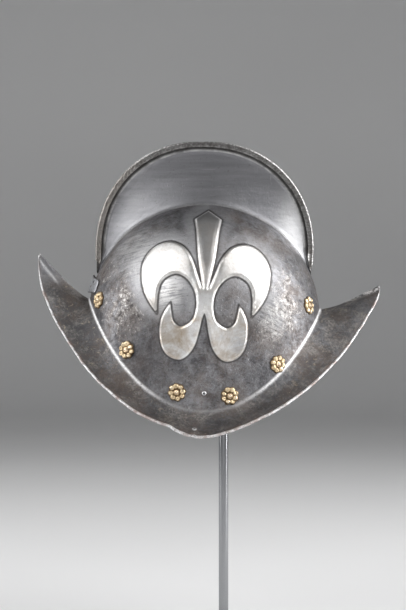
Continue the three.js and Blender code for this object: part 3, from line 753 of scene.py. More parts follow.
def raise_lily(rows, first, last):
    """Lays the lily on the bowl rows: moves points onto its contours, lifts it and marks the distance."""
    part = rows[first:last]
    shape = part.shape[:2]
    flat = part.reshape(-1, 3).copy()
    distance = np.full(len(flat), LILY_FAR)
    near = np.abs(flat[:, 0]) < LILY_HALF_WIDTH - LILY_FAR
    near &= (flat[:, 2] > LILY_BOTTOM + LILY_FAR) & (flat[:, 2] < LILY_TOP - LILY_FAR)
    measured, slope = lily_distance(flat[near][:, [0, 2]])
    close = flat[near]
    for contour, catch in LILY_CONTOURS:
        off = measured - contour
        caught = np.abs(off) < catch
        close[caught, 0] -= off[caught] * slope[caught, 0]
        close[caught, 2] -= off[caught] * slope[caught, 1]
        measured = np.where(caught, contour, measured)
    beside = measured > LILY_RELAY
    close[beside] = bowl_point_at(close[beside, 0], close[beside, 2])
    flat[near] = close
    distance[near] = measured
    lift = LILY_RELIEF * ease(distance / LILY_BEVEL * 0.86 + 0.07) * (distance > -0.01)
    petal = (np.abs(flat[:, 0]) < PETAL_HALF_WIDTH) & (flat[:, 2] > PETAL_FOOT) & (distance > 0)
    blade = np.clip(distance / BLADE_HALF_WIDTH, 0, 1)
    lift = np.where(petal, lerp(lift * 0.62, LILY_RELIEF, blade) * np.minimum(distance / 0.9, 1), lift)
    lift -= GROOVE_DEPTH * bell(distance + 0.85, 0.6) * (distance < 0)
    flat += bowl_normal(flat) * lift[:, None]
    rows[first:last] = flat.reshape(*shape, 3)
    marked = np.full(rows.shape[:2], LILY_FAR)
    marked[first:last] = distance.reshape(shape)
    # The petal's inner face is marked for a painted shade
    petal_shade = np.zeros(rows.shape[:2])
    inner = ease((distance - 1.2) / 1.5) * petal * ease((flat[:, 2] - 42) / 18)
    petal_shade[first:last] = inner.reshape(shape)
    return marked, petal_shade


def distance_to_line(p, start, end):
    """Distance in the side view from points to a straight stretch, and the share along it."""
    start, end = np.array(start), np.array(end)
    flat = p[..., [0, 2]] - start
    share = np.clip((flat @ (end - start)) / ((end - start) ** 2).sum(), 0, 1)
    return np.linalg.norm(flat - share[..., None] * (end - start), axis=-1), share


def unevenness_of(plain, mark, lily, seed, side):
    """How far each point of a half lies off its smooth place, calm towards the seam."""
    brim, comb, rimward = mark["brim"], mark["comb"], mark["rimward"]
    amount = brim * HAMMER_BRIM + (1 - brim) * (1 - comb) * HAMMER_BOWL + comb * HAMMER_COMB
    amount = amount * ease(rimward / 14) * (1 - 0.7 * (lily > 0))
    small = DENT_BRIM * brim + DENT_ALL
    lift = amount * Unevenness(seed, *HAMMER_WAVES)(plain)
    lift += small * ease(rimward / 4) * Unevenness(seed + 1, *DENT_WAVES)(plain)
    if side > 0:
        gap, run = distance_to_line(plain, *TIP_CREASE)
        lift += TIP_CREASE_LIFT * bell(gap, 1.6) * brim * ease(rimward / 5) * (1 - 0.4 * run)
    return lift * ease(np.abs(plain[..., 1]) / 8 + 0.25 * (plain[..., 0] < -130))


def skull_marks(plain, mark, lily, petal):
    """What drives the paint of a half, by name, for each row and station."""
    x, z = plain[..., 0], plain[..., 2]
    brim, comb = mark["brim"], mark["comb"]
    bare = lily < 0
    crease, _ = distance_to_line(plain, *TIP_CREASE)
    beyond = ease((-x - 138) / 10) * ease((z - 29) / 7)
    # Lighter band round the lily, stronger on its left: partly polish, partly painted highlight
    halo_and_highlight = ease((lily + 17) / 12) * ease((-lily - 0.8) / 1.4) * np.where(x < 0, 1, 0.55)
    return {
        **mark,
        "lily": lily,
        "petal": petal,
        "seam": bell(plain[..., 1], 2.2) * brim * ease((x + 150) / 12),
        "patina": spots(np.abs(x), z, PATINA) * (1 - brim) * (1 - comb),
        # Painted highlights on the bowl where the lamps reflect
        "painted_highlight": spots(x, z, HIGHLIGHT_SPOTS) * bare,
        # Painted shade on the bowl's low left part
        "painted_low_shade": spots(x, z, LOW_SHADE_SPOTS) * bare,
        "halo_and_highlight": halo_and_highlight * ease((z + 8) / 25),
        # Painted highlight on the comb's lower sides
        "comb_highlight": (spots(x, z, COMB_HIGHLIGHT_SPOTS) + 0.12 * bell(x + 76, 15)) * comb,
        "tip": beyond * brim * ease(mark["rimward"] / 4),
        # Painted highlight along the rear tip's crease
        "crease": bell(crease, 1.1) * brim,
        "low": ease((24 - z) / 34),
        "ring": np.hypot(x, z + BRUSH_CENTRE_DROP),
        "round": np.arctan2(x, z + BRUSH_CENTRE_DROP),
    }


def edge_bead(outer, normal, middle):
    """Rows of the rolled edge round the brim's first row."""
    down = unit(outer[0] - outer[5])
    heart = outer[0] - normal[0] * (SHEET / 2) - down * EDGE_BEAD_RADIUS
    rows = []
    for degrees in np.linspace(-BEAD_TURN, BEAD_TURN, BEAD_ROWS):
        angle = math.radians(degrees)
        p = heart + EDGE_BEAD_RADIUS * (down * math.cos(angle) + normal[0] * math.sin(angle))
        p[:, 1] = np.minimum(p[:, 1], middle)
        rows.append(p)
    return np.array(rows)


def lace_hole_seat(outer, normal):
    """Station and row nearest to the lace hole's place, and the outer and inner centre with their facing."""
    station = round(LACE_HOLE_STATION * STATIONS)
    edge = along_line(RIM_LINE, np.array([LACE_HOLE_STATION]))[0]
    base = bowl_point(*base_line(np.array([LACE_HOLE_STATION])))[0]
    wanted = edge + unit(base - edge) * LACE_HOLE_INSET
    row = max(int(np.linalg.norm(outer[:BRIM_ROWS, station] - wanted, axis=1).argmin()), 3)
    centre, facing = outer[row, station], normal[row, station]
    return station, row, [(centre, facing), (centre - facing * SHEET, facing)]


def skull_half(name, seed, side):
    rows, mark, (first, last) = half_rows(seed)
    plain = rows.copy()
    normal = grid_normals(plain)
    lily, petal = raise_lily(rows, first, last)
    middle = -SEAM_GAP / 2
    lift = normal * unevenness_of(plain, mark, lily, seed, side)[..., None]
    outer = rows + lift
    outer[..., 1] = np.minimum(outer[..., 1], middle)

    keep = [j for j in range(len(rows)) if j < first or j >= len(rows) - 1 or (j - first) % 3 == 0]
    on_face = (mark["comb"] > 0.99)[..., None]
    inner = np.where(on_face, plain + [0, SHEET, 0], plain + lift - normal * SHEET)
    inner[..., 1] = np.minimum(inner[..., 1], middle)
    inner = inner[keep]
    bead = edge_bead(outer, normal, middle)
    ring = np.concatenate([bead, outer[1:], inner[:0:-1]])
    count = len(ring)
    points = ring.transpose(1, 0, 2).reshape(-1, 3)
    grid = np.arange(len(points)).reshape(STATIONS + 1, count)
    faces = quads_of(grid, True)

    values = {}
    for key, given in skull_marks(plain, mark, lily, petal).items():
        on_bead = np.full((len(bead), STATIONS + 1), BEAD_MARKS.get(key, 0.0))
        values[key] = np.concatenate([on_bead, given[1:], given[keep][:0:-1]]).T.reshape(-1)
    inside = np.concatenate([np.zeros(len(bead) + len(outer) - 1), np.ones(len(inner) - 1)])
    values["inside"] = np.tile(inside, STATIONS + 1)

    station, row, centres = lace_hole_seat(outer, normal)
    columns = np.arange(station - HOLE_REACH, station + HOLE_REACH + 1)
    levels = np.arange(row - 2, row + 3)
    blocks = [grid[np.ix_(columns, len(bead) - 1 + levels)], grid[np.ix_(columns, count - levels)]]
    points, faces = open_hole(points, faces, blocks, centres, LACE_HOLE_RADIUS, 0.3)
    each = (len(points) - len(values["brim"])) // 4
    for key, given in values.items():
        fresh = np.repeat(np.array(HOLE_MARKS.get(key, (0, 0, 0, 0)), dtype=float), each)
        values[key] = np.concatenate([given, fresh])

    faces = faces.tolist()
    for ends in (grid[0], grid[-1]):
        faces.append([*ends[:len(bead) + 1].tolist(), int(ends[count - 1])])
        for m in range(1, len(keep) - 1):
            across = ends[len(bead) - 1 + keep[m]:len(bead) + keep[m + 1]].tolist()
            faces.append([*across, int(ends[count - m - 1]), int(ends[count - m])])
    return make_object(name, inside_box(to_row(points * [1, side, 1])), faces, values)


# Other helmet pieces

def strip_profile(skin):
    """Section of the crest strip: place across, depth below the crest and share of the roping."""
    slot = CREST_HALF_THICKNESS + CLEARANCE
    wall = slot + FOLD_SHEET
    top = CLEARANCE + FOLD_SHEET
    hem = skin + FOLD_SHEET
    return [
        (-skin - 0.35, FOLD_DEPTH, 0), (-skin - 0.85, FOLD_DEPTH - 0.15, 0), (-hem, FOLD_DEPTH - 0.6, 0.25),
        (-lerp(wall, hem, 0.66), 3.4, 0.8), (-lerp(wall, hem, 0.4), 2.4, 1.0),
        (-lerp(wall, hem, 0.15), 1.4, 1.0), (-wall, 0.4, 1.0),
        (-wall + 0.25, -0.45, 0.9), (-wall + 0.9, -1.05, 0.7), (-wall * 0.45, -top, 0.4),
        (0, -top, 0.3), (wall * 0.45, -top, 0.4), (wall - 0.9, -1.05, 0.7), (wall - 0.25, -0.45, 0.8),
        (wall, 0.4, 0.8), (wall, 1.6, 0.5), (wall - 0.3, 2.4, 0), (slot + 0.2, 2.6, 0), (slot, 2.2, 0),
        (slot, -0.25, 0), (-slot, -0.25, 0), (-skin + 0.05, FOLD_DEPTH - 0.3, 0),
    ]


def crest_strip():
    """The turned strip over the crest, roped along its edge and worn."""
    share = np.linspace(1 / 30, 29 / 30, STRIP_STATIONS)
    comb = Comb(share)
    run = share * np.linalg.norm(np.diff(CREST, axis=0), axis=1).sum()
    wear, bite = Unevenness(71, 9, 60), Unevenness(72, 3, 9)
    profile = strip_profile(FOLD_CLEARANCE + comb.half_thickness(1 - comb.share_of(FOLD_DEPTH, FOLD_MOST)))
    flat = comb.point(1 + 0 * share, 0)
    centre = comb.point(1 - comb.share_of(6, FOLD_MOST), 0)
    worn = np.clip(0.35 + 0.75 * wear(flat), 0, 1)
    slip = 0.7 * wear(flat * 1.7)
    rows, nicks = [], []
    for across, depth, roping in profile:
        p = comb.point(1 - np.sign(depth) * comb.share_of(abs(depth), FOLD_MOST), 0)
        p[:, 1] = across
        phase = (run + 0.9 * depth - 0.5 * across + slip) / ROPE_PITCH
        cut = roping * (0.42 * bell((phase % 1) - 0.5, 0.11) * worn + 0.16 * np.maximum(bite(p), 0))
        p[:, 1] -= np.sign(across) * cut * (abs(depth) < 4.5)
        sink = cut * (0.6 if depth < 0 else 0)
        rows.append(p + unit((centre - p) * [1, 0, 1]) * sink[:, None])
        nicks.append(cut)
    points = np.array(rows).transpose(1, 0, 2).reshape(-1, 3)
    grid = np.arange(len(points)).reshape(len(share), len(profile))
    faces = quads_of(grid, True).tolist() + [grid[0][::-1].tolist(), grid[-1].tolist()]
    marks = {
        "nick": np.array(nicks).T.reshape(-1),
        "edge": np.tile(np.array([depth < 0.2 for _, depth, _ in profile], dtype=float), len(share)),
        "shade": np.repeat(ease((-flat[:, 0] - 62) / 34), len(profile)),
    }
    return make_object("crest_strip", inside_box(to_row(points)), faces, marks, 50)


def back_plate():
    """Plate round the back of the bowl: its sides lie on it, its middle stands off. Two small holes."""
    y = np.linspace(PLATE_HALF_WIDTH, -PLATE_HALF_WIDTH, PLATE_COLUMNS)
    share = np.abs(y) / PLATE_HALF_WIDTH
    over = np.maximum(np.abs(y) - (PLATE_HALF_WIDTH - PLATE_CORNER), 0)
    trim = PLATE_CORNER - np.sqrt(np.maximum(PLATE_CORNER ** 2 - over ** 2, 0))
    low = PLATE_BOTTOM + trim
    high = lerp(PLATE_TOP, PLATE_SIDE_TOP, share) - trim
    wavy = Unevenness(33, 12, 40)
    proud = CLEARANCE + PLATE_STANDOFF * (1 - share ** 2)

    def place(z, lift):
        left = 1 - (y / BOWL_HALF_WIDTH) ** 2 - (z / CROWN_HEIGHT) ** 2
        p = np.stack([-BOWL_HALF_LENGTH * np.sqrt(left), y, z], -1)
        return p + bowl_normal(p) * (lift + 0.07 * wavy(p))[:, None]

    # Painted shade: dark round the plate's edge, on its back and in its holes
    outside, inside, painted_shade = [], [], []
    for t in np.linspace(0, 1, PLATE_LEVELS):
        z = lerp(low, high, t)
        rim_gap = np.minimum(np.minimum(z - low, high - z), PLATE_HALF_WIDTH - np.abs(y))
        soft = ease(rim_gap / 1.2 + 0.35)
        outside.append(place(z, proud + PLATE_SHEET * (0.55 + 0.4 * soft)))
        inside.append(place(z, proud))
        painted_shade.append(bell(rim_gap, 0.7))
    points = np.concatenate([np.array(outside).reshape(-1, 3), np.array(inside).reshape(-1, 3)])
    front = np.arange(PLATE_LEVELS * PLATE_COLUMNS).reshape(PLATE_LEVELS, PLATE_COLUMNS)
    rear = front + front.size
    faces = np.vstack([quads_of(front), quads_of(rear), band(border_of(front), border_of(rear))])
    marks = np.concatenate([np.array(painted_shade).reshape(-1), np.ones(front.size)])
    levels = np.arange(PLATE_HOLE_ROW - HOLE_REACH, PLATE_HOLE_ROW + HOLE_REACH + 1)
    for y_hole in (-PLATE_HOLE_PLACE, PLATE_HOLE_PLACE):
        column = int(np.abs(y - y_hole).argmin())
        columns = np.arange(column - HOLE_REACH, column + HOLE_REACH + 1)
        centre = points[front[PLATE_HOLE_ROW, column]]
        facing = bowl_normal(centre)
        centres = [(centre, facing), (centre - facing * 0.9, facing)]
        blocks = [front[np.ix_(levels, columns)], rear[np.ix_(levels, columns)]]
        points, faces = open_hole(points, faces, blocks, centres, PLATE_HOLE_RADIUS, 0.1)
        marks = np.concatenate([marks, np.repeat([0.0, 0.6, 1.0, 1.0], (len(points) - len(marks)) // 4)])
    return make_object("back_plate_fine", inside_box(to_row(points)), faces.tolist(), {"painted_shade": marks}, 40)


def rivet_seat(along, above):
    x = along * BOWL_HALF_LENGTH
    point = bowl_point_at(np.array(x), np.array(base_height_at(x) + above * CROWN_HEIGHT))
    return point, bowl_normal(point)


def stand_on_bowl(local, seat, side):
    """Lays a shape drawn flat round +Z onto the bowl, following its curve."""
    point, outward = rivet_seat(*seat)
    across = unit(np.cross([0, 0, 1.0], outward))
    upward = np.cross(outward, across)
    foot = on_bowl(point + local[:, [0]] * across + local[:, [1]] * upward)
    return to_row((foot + bowl_normal(foot) * local[:, [2]]) * [1, side, 1])


def add_tail(local, faces, profile, sides):
    """Adds the clenched tail inside the sheet, from rows of radius and depth below it."""
    tail, tail_faces = turned([(radius, -SHEET - depth) for radius, depth in profile], sides)
    return np.vstack([local, tail]), faces + [[v + len(local) for v in f] for f in tail_faces]


def rosette(name, seat, side, seed):
    """Round of knobs about a middle knob, on a scalloped disc, with its clenched tail inside."""
    rng = np.random.default_rng(seed)
    turn0 = rng.random() * math.pi / 4
    share = np.linspace(0.02, 1, ROSETTE_RINGS)[:, None]
    angle = np.linspace(0, 2 * math.pi, ROSETTE_SIDES, endpoint=False)
    r = share * (ROSETTE_RADIUS * (0.94 + 0.055 * np.cos(KNOBS * (angle - turn0))))
    x, y = r * np.cos(angle), r * np.sin(angle)
    height = 1.05 - 0.3 * bell(r - 3.1, 0.7)
    for k in range(KNOBS):
        t = turn0 + 2 * math.pi * k / KNOBS + rng.normal() * 0.03
        far = KNOB_PLACE + rng.normal() * 0.2
        size = KNOB_RADIUS + rng.normal() * 0.16
        gap = np.hypot(x - far * math.cos(t), y - far * math.sin(t)) / size
        cup = 1 - rng.uniform(0.1, 0.45) * bell(gap, 0.36)
        dome = np.sqrt(np.maximum(1 - gap ** 2, 0)) * cup
        height = np.maximum(height, 0.9 + (KNOB_HEIGHT + rng.normal() * 0.22) * dome * (gap < 1))
    gap = np.hypot(x - rng.normal() * 0.12, y - rng.normal() * 0.12) / MIDDLE_KNOB_RADIUS
    knob = np.sqrt(np.maximum(1 - gap ** 2, 0)) * (1 - 0.3 * bell(gap - 0.62, 0.13))
    height = np.maximum(height, 1.0 + MIDDLE_KNOB_HEIGHT * knob * (gap < 1))
    worn = Unevenness(seed + 9, 1.6, 6)
    height += 0.3 * worn(np.stack([x, y, 0 * x + seed], -1)) * ease((1 - share) * 6)
    height = np.minimum(height, ROSETTE_HEIGHT)
    height[-1] = 0.75
    top = np.stack([x, y, height], -1).reshape(-1, 3)
    skirt = np.stack([x[-1] * 0.99, y[-1] * 0.99, 0 * angle + 0.02], -1)
    local = np.vstack([[[0, 0, height[0].mean()]], top, skirt, [[0, 0, 0.02]]])
    grid = 1 + np.arange((ROSETTE_RINGS + 1) * ROSETTE_SIDES).reshape(-1, ROSETTE_SIDES)
    faces = quads_of(grid, True).tolist() + fan(0, grid[0]) + fan(len(local) - 1, grid[-1], True)
    relief = np.clip((local[:, 2] - 0.7) / 2.3, 0, 1)
    local, faces = add_tail(local, faces, ROSETTE_TAIL, 24)
    marks = {
        "relief": np.concatenate([relief, np.full(len(local) - len(relief), 0.6)]),
        "middle": np.exp(-(np.hypot(local[:, 0], local[:, 1]) / 2.4) ** 4),
    }
    return make_object(name, stand_on_bowl(local, seat, side), faces, marks, 50)


def small_rivet(name, side):
    local, faces = turned(SMALL_RIVET_HEAD, 32)
    local, faces = add_tail(local, faces, SMALL_RIVET_TAIL, 20)
    radius = np.hypot(local[:, 0], local[:, 1])
    # Painted shade in the rivet's middle
    marks = {"painted_shade": np.exp(-(radius / 1.15) ** 6), "edge": bell(radius - 1.6, 0.45)}
    return make_object(name, stand_on_bowl(local, SMALL_RIVET, side), faces, marks, 50)


# Stand

def stand_base():
    rim = corner(BASE_RADIUS, 0, 0.6, 0) + corner(BASE_RADIUS, BASE_THICKNESS, 1.5, 1)
    inner = [(radius, BASE_THICKNESS) for radius in (60, 30, 12, 0)]
    points, faces = turned([(0, 0), (40, 0), *rim, *inner], 128)
    return make_object("stand_base_fine", points / 1000, faces, None, 40)


def stand_rod():
    bottom, top = BASE_THICKNESS + CLEARANCE, PAD_FOOT_HEIGHT - CLEARANCE
    low_edge, high_edge = corner(ROD_RADIUS, bottom, 0.3, 0), corner(ROD_RADIUS, top, 0.6, 1)
    side = [(ROD_RADIUS, z) for z in np.linspace(bottom + 1, top - 1, 24)]
    points, faces = turned([(0, bottom), *low_edge, *side, *high_edge, (0, top)], 64)
    return make_object("stand_rod_fine", points / 1000, faces, None, 40)


def pad_roof(x, y):
    """Height of the shrunken bowl over a place in the row frame."""
    shrink = SHEET + PAD_CLEARANCE
    a, b, c = BOWL_HALF_LENGTH - shrink, BOWL_HALF_WIDTH - shrink, CROWN_HEIGHT - shrink
    z = np.full(np.shape(x), PAD_ROOF_START)
    for _ in range(PAD_ROOF_ROUNDS):
        along, above = x + ROD_FROM_BOWL_CENTRE, z - BOWL_CENTRE_HEIGHT
        u = along * math.cos(LEAN) - above * math.sin(LEAN)
        level = c * np.sqrt(np.maximum(1 - (u / a) ** 2 - (y / b) ** 2, 0))
        z = z + (level - along * math.sin(LEAN) - above * math.cos(LEAN)) * 0.9
    return z


def rod_pad():
    """Covered pad under the crown: flat foot, rounded edge with a seam, top following the bowl."""
    angle = np.linspace(0, 2 * math.pi, PAD_SIDES, endpoint=False)
    rings = []
    for radius, rise in PAD_ROWS:
        x, y = PAD_RADIUS * radius * np.cos(angle), PAD_RADIUS * radius * np.sin(angle)
        rings.append(np.stack([x, y, lerp(PAD_FOOT_HEIGHT, pad_roof(x, y), rise)], -1))
    crown = pad_roof(np.array(0.0), np.array(0.0))
    points = np.concatenate([np.array(rings).reshape(-1, 3), [[0, 0, PAD_FOOT_HEIGHT]], [[0, 0, crown]]])
    grid = np.arange(len(PAD_ROWS) * PAD_SIDES).reshape(-1, PAD_SIDES)
    caps = fan(len(points) - 2, grid[0], True) + fan(len(points) - 1, grid[-1])
    return make_object("rod_pad_fine", points / 1000, quads_of(grid, True).tolist() + caps, None, 60)


# Materials

class Paint:
    """A procedural material, drawn in object coordinates in metres. colour is what is laid so far."""

    def __init__(self, name):
        self.material = bpy.data.materials.new(name)
        self.material.use_nodes = True
        self.tree = self.material.node_tree
        self.shader = self.tree.nodes["Principled BSDF"]
        self.place = self.tree.nodes.new("ShaderNodeTexCoord").outputs["Object"]
        self.colour = None

    def put(self, value, socket):
        if hasattr(value, "is_output"):
            self.tree.links.new(value, socket)
        elif isinstance(value, tuple) and len(value) == 3 and socket.type == "RGBA":
            socket.default_value = (*value, 1)
        else:
            socket.default_value = value

    def node(self, kind, settings=None, **sockets):
        made = self.tree.nodes.new(kind)
        for key, value in (settings or {}).items():
            setattr(made, key, value)
        for key, value in sockets.items():
            self.put(value, made.inputs[key])
        return made

    def numbered(self, kind, settings, given, output=0):
        """A node whose sockets go by number."""
        made = self.node(kind, settings)
        for number, value in given.items():
            self.put(value, made.inputs[number])
        return made.outputs[output]

    def stretch(self, scale, turn=(0, 0, 0)):
        return self.node("ShaderNodeMapping", Vector=self.place, Scale=scale, Rotation=turn).outputs[0]

    def noise(self, scale, detail, rough, vector=None, bend=0.0):
        return self.node(
            "ShaderNodeTexNoise", Vector=vector or self.place, Scale=scale, Detail=detail, Roughness=rough,
            Distortion=bend,
        ).outputs[0]

    def creases(self, scale):
        settings = {"feature": "DISTANCE_TO_EDGE"}
        return self.node("ShaderNodeTexVoronoi", settings, Vector=self.place, Scale=scale).outputs[0]

    def mark(self, name):
        return self.node("ShaderNodeAttribute", {"attribute_name": name}).outputs["Fac"]

    def span(self, value, low, high, to_low=0.0, to_high=1.0):
        return self.numbered("ShaderNodeMapRange", {}, dict(enumerate((value, low, high, to_low, to_high))))

    def calc(self, operation, a, b=0.0):
        return self.numbered("ShaderNodeMath", {"operation": operation}, {0: a, 1: b})

    def times(self, *values):
        total = values[0]
        for value in values[1:]:
            total = self.calc("MULTIPLY", total, value)
        return total

    def plus(self, *values):
        total = values[0]
        for value in values[1:]:
            total = self.calc("ADD", total, value)
        return total

    def weigh(self, *pairs):
        """Sum of values, each with its weight."""
        return self.plus(*[self.times(value, weight) for value, weight in pairs])

    def without(self, value):
        return self.calc("SUBTRACT", 1.0, value)

    def swing(self, value, size):
        """The value's swing about a half, scaled."""
        return self.times(self.calc("SUBTRACT", value, 0.5), size)

    def beside(self, value, place, wide, narrow):
        """1 where the value is at a place, fading to 0 at the wider distance."""
        return self.span(self.calc("ABSOLUTE", self.plus(value, -place)), wide, narrow)

    def mix(self, share, a, b):
        return self.numbered("ShaderNodeMix", {"data_type": "RGBA"}, {0: share, 6: a, 7: b}, 2)

    def blend(self, share, a, b):
        return self.numbered("ShaderNodeMix", {}, {0: share, 2: a, 3: b})

    def lay(self, share, colour):
        """Lays a colour over what is there, by a share from 0 to 1."""
        self.colour = self.mix(share, self.colour, colour)

    def finish(self, rough, bumps, metallic=1.0):
        for socket, value in (("Base Color", self.colour), ("Roughness", rough), ("Metallic", metallic)):
            self.put(value, self.shader.inputs[socket])
        normal = None
        for height, distance, strength in bumps:
            made = self.node("ShaderNodeBump", Height=height, Distance=distance, Strength=strength)
            if normal:
                self.tree.links.new(normal, made.inputs["Normal"])
            normal = made.outputs[0]
        self.tree.links.new(normal, self.shader.inputs["Normal"])
        return self.material


class OldSteel(Paint):
    """Worn steel: bright on the lily, grey on the comb, mottled dark and brown on the bowl and brim."""

    def __init__(self):
        super().__init__("old_steel")
        self.brim, self.comb, self.lily = self.mark("brim"), self.mark("comb"), self.mark("lily")
        self.rimward, self.inside = self.mark("rimward"), self.mark("inside")
        self.cloud, self.mottle = self.noise(11, 3, 0.5), self.noise(78, 8, 0.72, bend=0.4)
        self.fine, self.grain = self.noise(420, 6, 0.75), self.noise(1300, 2, 0.5)
        self.crust = self.noise(210, 8, 0.84)
        out, around = self.times(self.mark("ring"), 0.5), self.times(self.mark("round"), 9.0)
        arcs = self.node("ShaderNodeCombineXYZ", X=out, Y=around).outputs[0]
        self.brushed = self.noise(1, 5, 0.68, arcs, 0.3)
        self.raised = self.span(self.lily, 0.05, 0.7)
        self.ground = self.without(self.calc("MAXIMUM", self.raised, self.comb))
        self.bowl = self.times(self.ground, self.without(self.brim))
        level = self.weigh(
            (self.mottle, 0.5), (self.cloud, 0.2), (self.brushed, 0.1), (self.fine, 0.2), (self.brim, 0.04),
        )
        self.dark = self.span(level, 0.43, 0.57)
        patches = self.span(self.weigh((self.noise(30, 5, 0.65), 0.6), (self.fine, 0.4)), 0.46, 0.6)
        self.rust = self.times(patches, self.ground)
        specks = self.span(self.noise(380, 5, 0.75, bend=0.3), 0.60, 0.68)
        bare = self.weigh((self.ground, 0.8), (self.comb, 0.45), (self.raised, 0.22))
        self.spots = self.times(specks, bare)
        long_scratch = self.noise(1, 3, 0.6, self.stretch((30, 600, 800), (0, 0.7, 0)))
        cross_scratch = self.noise(1, 3, 0.6, self.stretch((850, 600, 34), (0, -0.45, 0)))
        self.scratches = self.calc(
            "MAXIMUM", self.span(long_scratch, 0.66, 0.72), self.span(cross_scratch, 0.67, 0.73),
        )

    def lay_ground(self):
        """Mottled steel with rust and stains, under everything."""
        self.colour = self.mix(self.dark, GROUND_LIGHT, GROUND_DARK)
        self.lay(self.times(self.brim, 0.45), BRIM_GREY)
        self.lay(self.times(self.rust, 0.4), RUST)
        stains = self.span(self.noise(95, 5, 0.7, bend=0.8), 0.58, 0.68)
        self.lay(self.times(stains, self.ground, 0.5), STAIN)

    def lay_bowl(self):
        """Crusted patina at both ends, painted shade low on the left, a band round the lily partly polish
        and partly painted highlight, and painted highlights where the lamps reflect.
        """
        noise = self.noise(38, 8, 0.8, bend=0.7)
        patches = self.span(self.plus(self.times(self.mark("patina"), 0.16), noise), 0.60, 0.70)
        crusted = self.mix(self.span(self.crust, 0.42, 0.51), CRUST_PIT, CRUST_BROWN)
        crusted = self.mix(self.span(self.crust, 0.525, 0.595), crusted, CRUST_CREAM)
        self.lay(self.times(patches, self.bowl, 0.9), crusted)
        # Painted shade on the low left part of the bowl
        self.lay(self.times(self.mark("painted_low_shade"), self.bowl, 0.55), LOW_SHADE_GREY)
        # Lighter band round the lily: partly polish, partly painted highlight
        haze = self.span(self.brushed, 0.34, 0.6, 0.56, 0.8)
        self.lay(self.times(self.mark("halo_and_highlight"), haze, self.ground), HALO_AND_HIGHLIGHT_GREY)
        # Painted highlights on the bowl where the lamps reflect, streaked
        highlight_streaks = self.span(self.weigh((self.crust, 0.35), (self.brushed, 0.65)), 0.40, 0.55)
        self.lay(self.times(self.mark("painted_highlight"), highlight_streaks, self.ground), PAINTED_HIGHLIGHT_COLOUR)

    def lay_brim(self):
        blotch = self.span(self.noise(52, 7, 0.75, bend=0.7), 0.48, 0.60)
        mottled = self.mix(self.span(self.fine, 0.42, 0.58), BLOTCH_DARK, BLOTCH_LIGHT)
        self.lay(self.times(blotch, self.brim, 0.65), mottled)
        ochre = self.span(self.noise(150, 5, 0.7, bend=1.2), 0.59, 0.66)
        self.lay(self.times(ochre, self.span(self.cloud, 0.42, 0.58), self.brim, 0.6), BRIM_OCHRE)

    def lay_comb(self):
        rub = self.noise(1, 4, 0.6, self.stretch((14, 120, 160), (0, 0.2, 0)))
        grey = self.mix(self.span(rub, 0.35, 0.7), COMB_DARK, COMB_LIGHT)
        # Painted highlight on the comb's lower sides, streaked by the rubbing noise
        comb_highlight = self.times(self.mark("comb_highlight"), self.span(rub, 0.3, 0.65, 0.75, 1.0))
        self.lay(self.comb, self.mix(comb_highlight, grey, COMB_HIGHLIGHT_COLOUR))
        band = self.mix(self.span(self.mottle, 0.4, 0.62), BORDER_LIGHT, BORDER_DARK)
        self.lay(self.mark("border"), band)
        self.lay(self.times(self.mark("step"), self.span(self.mottle, 0.35, 0.6, 0.55, 0.1)), STEP_BRIGHT)

    def lay_lily(self):
        worn = self.span(self.weigh((self.mottle, 0.6), (self.fine, 0.4)), 0.45, 0.62)
        silver = self.mix(worn, SILVER, SILVER_WORN)
        # Painted shade on the petal's face
        silver = self.mix(self.times(self.mark("petal"), 0.75), silver, PETAL_SHADE_GREY)
        ochre = self.span(self.noise(30, 6, 0.68, bend=0.6), 0.44, 0.62)
        blue = self.span(self.noise(26, 4, 0.6, bend=0.5), 0.52, 0.66)
        low = self.mark("low")
        silver = self.mix(self.times(ochre, self.span(low, 0, 1, 0.25, 0.9)), silver, LILY_OCHRE)
        silver = self.mix(self.times(blue, self.span(low, 0, 1, 0.1, 0.5)), silver, LILY_BLUE)
        self.lay(self.raised, silver)
        self.lay(self.times(self.beside(self.lily, -0.6, 1.2, 0.2), 0.75), CONTOUR_DARK)

    def lay_edges(self):
        """Bright ridge, partly a painted highlight, and rolled edge, dirt behind it, and the flecks along
        the seam.
        """
        edge = self.times(self.span(self.rimward, 3.0, 2.2), 0.9)
        bright = self.calc("MAXIMUM", self.mark("ridge"), edge)
        self.lay(self.times(bright, self.span(self.fine, 0.30, 0.5), self.without(self.comb)), EDGE_BRIGHT)
        self.lay(self.times(self.beside(self.rimward, 3.2, 1.0, 0.3), 0.6), EDGE_DIRT)
        rusty = self.times(self.span(self.rimward, 6.0, 1.5), self.span(self.mottle, 0.46, 0.6), 0.65)
        self.lay(rusty, EDGE_RUST)
        self.lay(self.times(self.mark("seam"), self.span(self.fine, 0.46, 0.56), 0.9), SEAM_BRIGHT)

    def lay_wear_and_highlight(self):
        self.lay(self.spots, SPOT_DARK)
        self.lay(self.times(self.scratches, 0.2), SCRATCH_LIGHT)
        self.lay(self.times(self.mark("tip"), self.span(self.cloud, 0.3, 0.7, 0.35, 0.6)), TIP_GREY)
        # Painted highlight along the crease of the rear tip
        self.lay(self.times(self.mark("crease"), self.span(self.fine, 0.34, 0.6, 0.85, 0.4)), CREASE_HIGHLIGHT)
        self.lay(self.times(self.inside, 0.85), self.mix(self.mottle, INSIDE_DARK, INSIDE_LIGHT))

    def roughness(self):
        spread = self.weigh((self.dark, 0.1), (self.rust, 0.08), (self.spots, 0.15), (self.fine, 0.1))
        rough = self.plus(0.36, spread)
        rough = self.blend(self.comb, rough, self.plus(0.40, self.swing(self.fine, 0.15)))
        rough = self.blend(self.raised, rough, self.plus(0.38, self.swing(self.fine, 0.2)))
        return self.plus(rough, self.times(self.inside, 0.2))


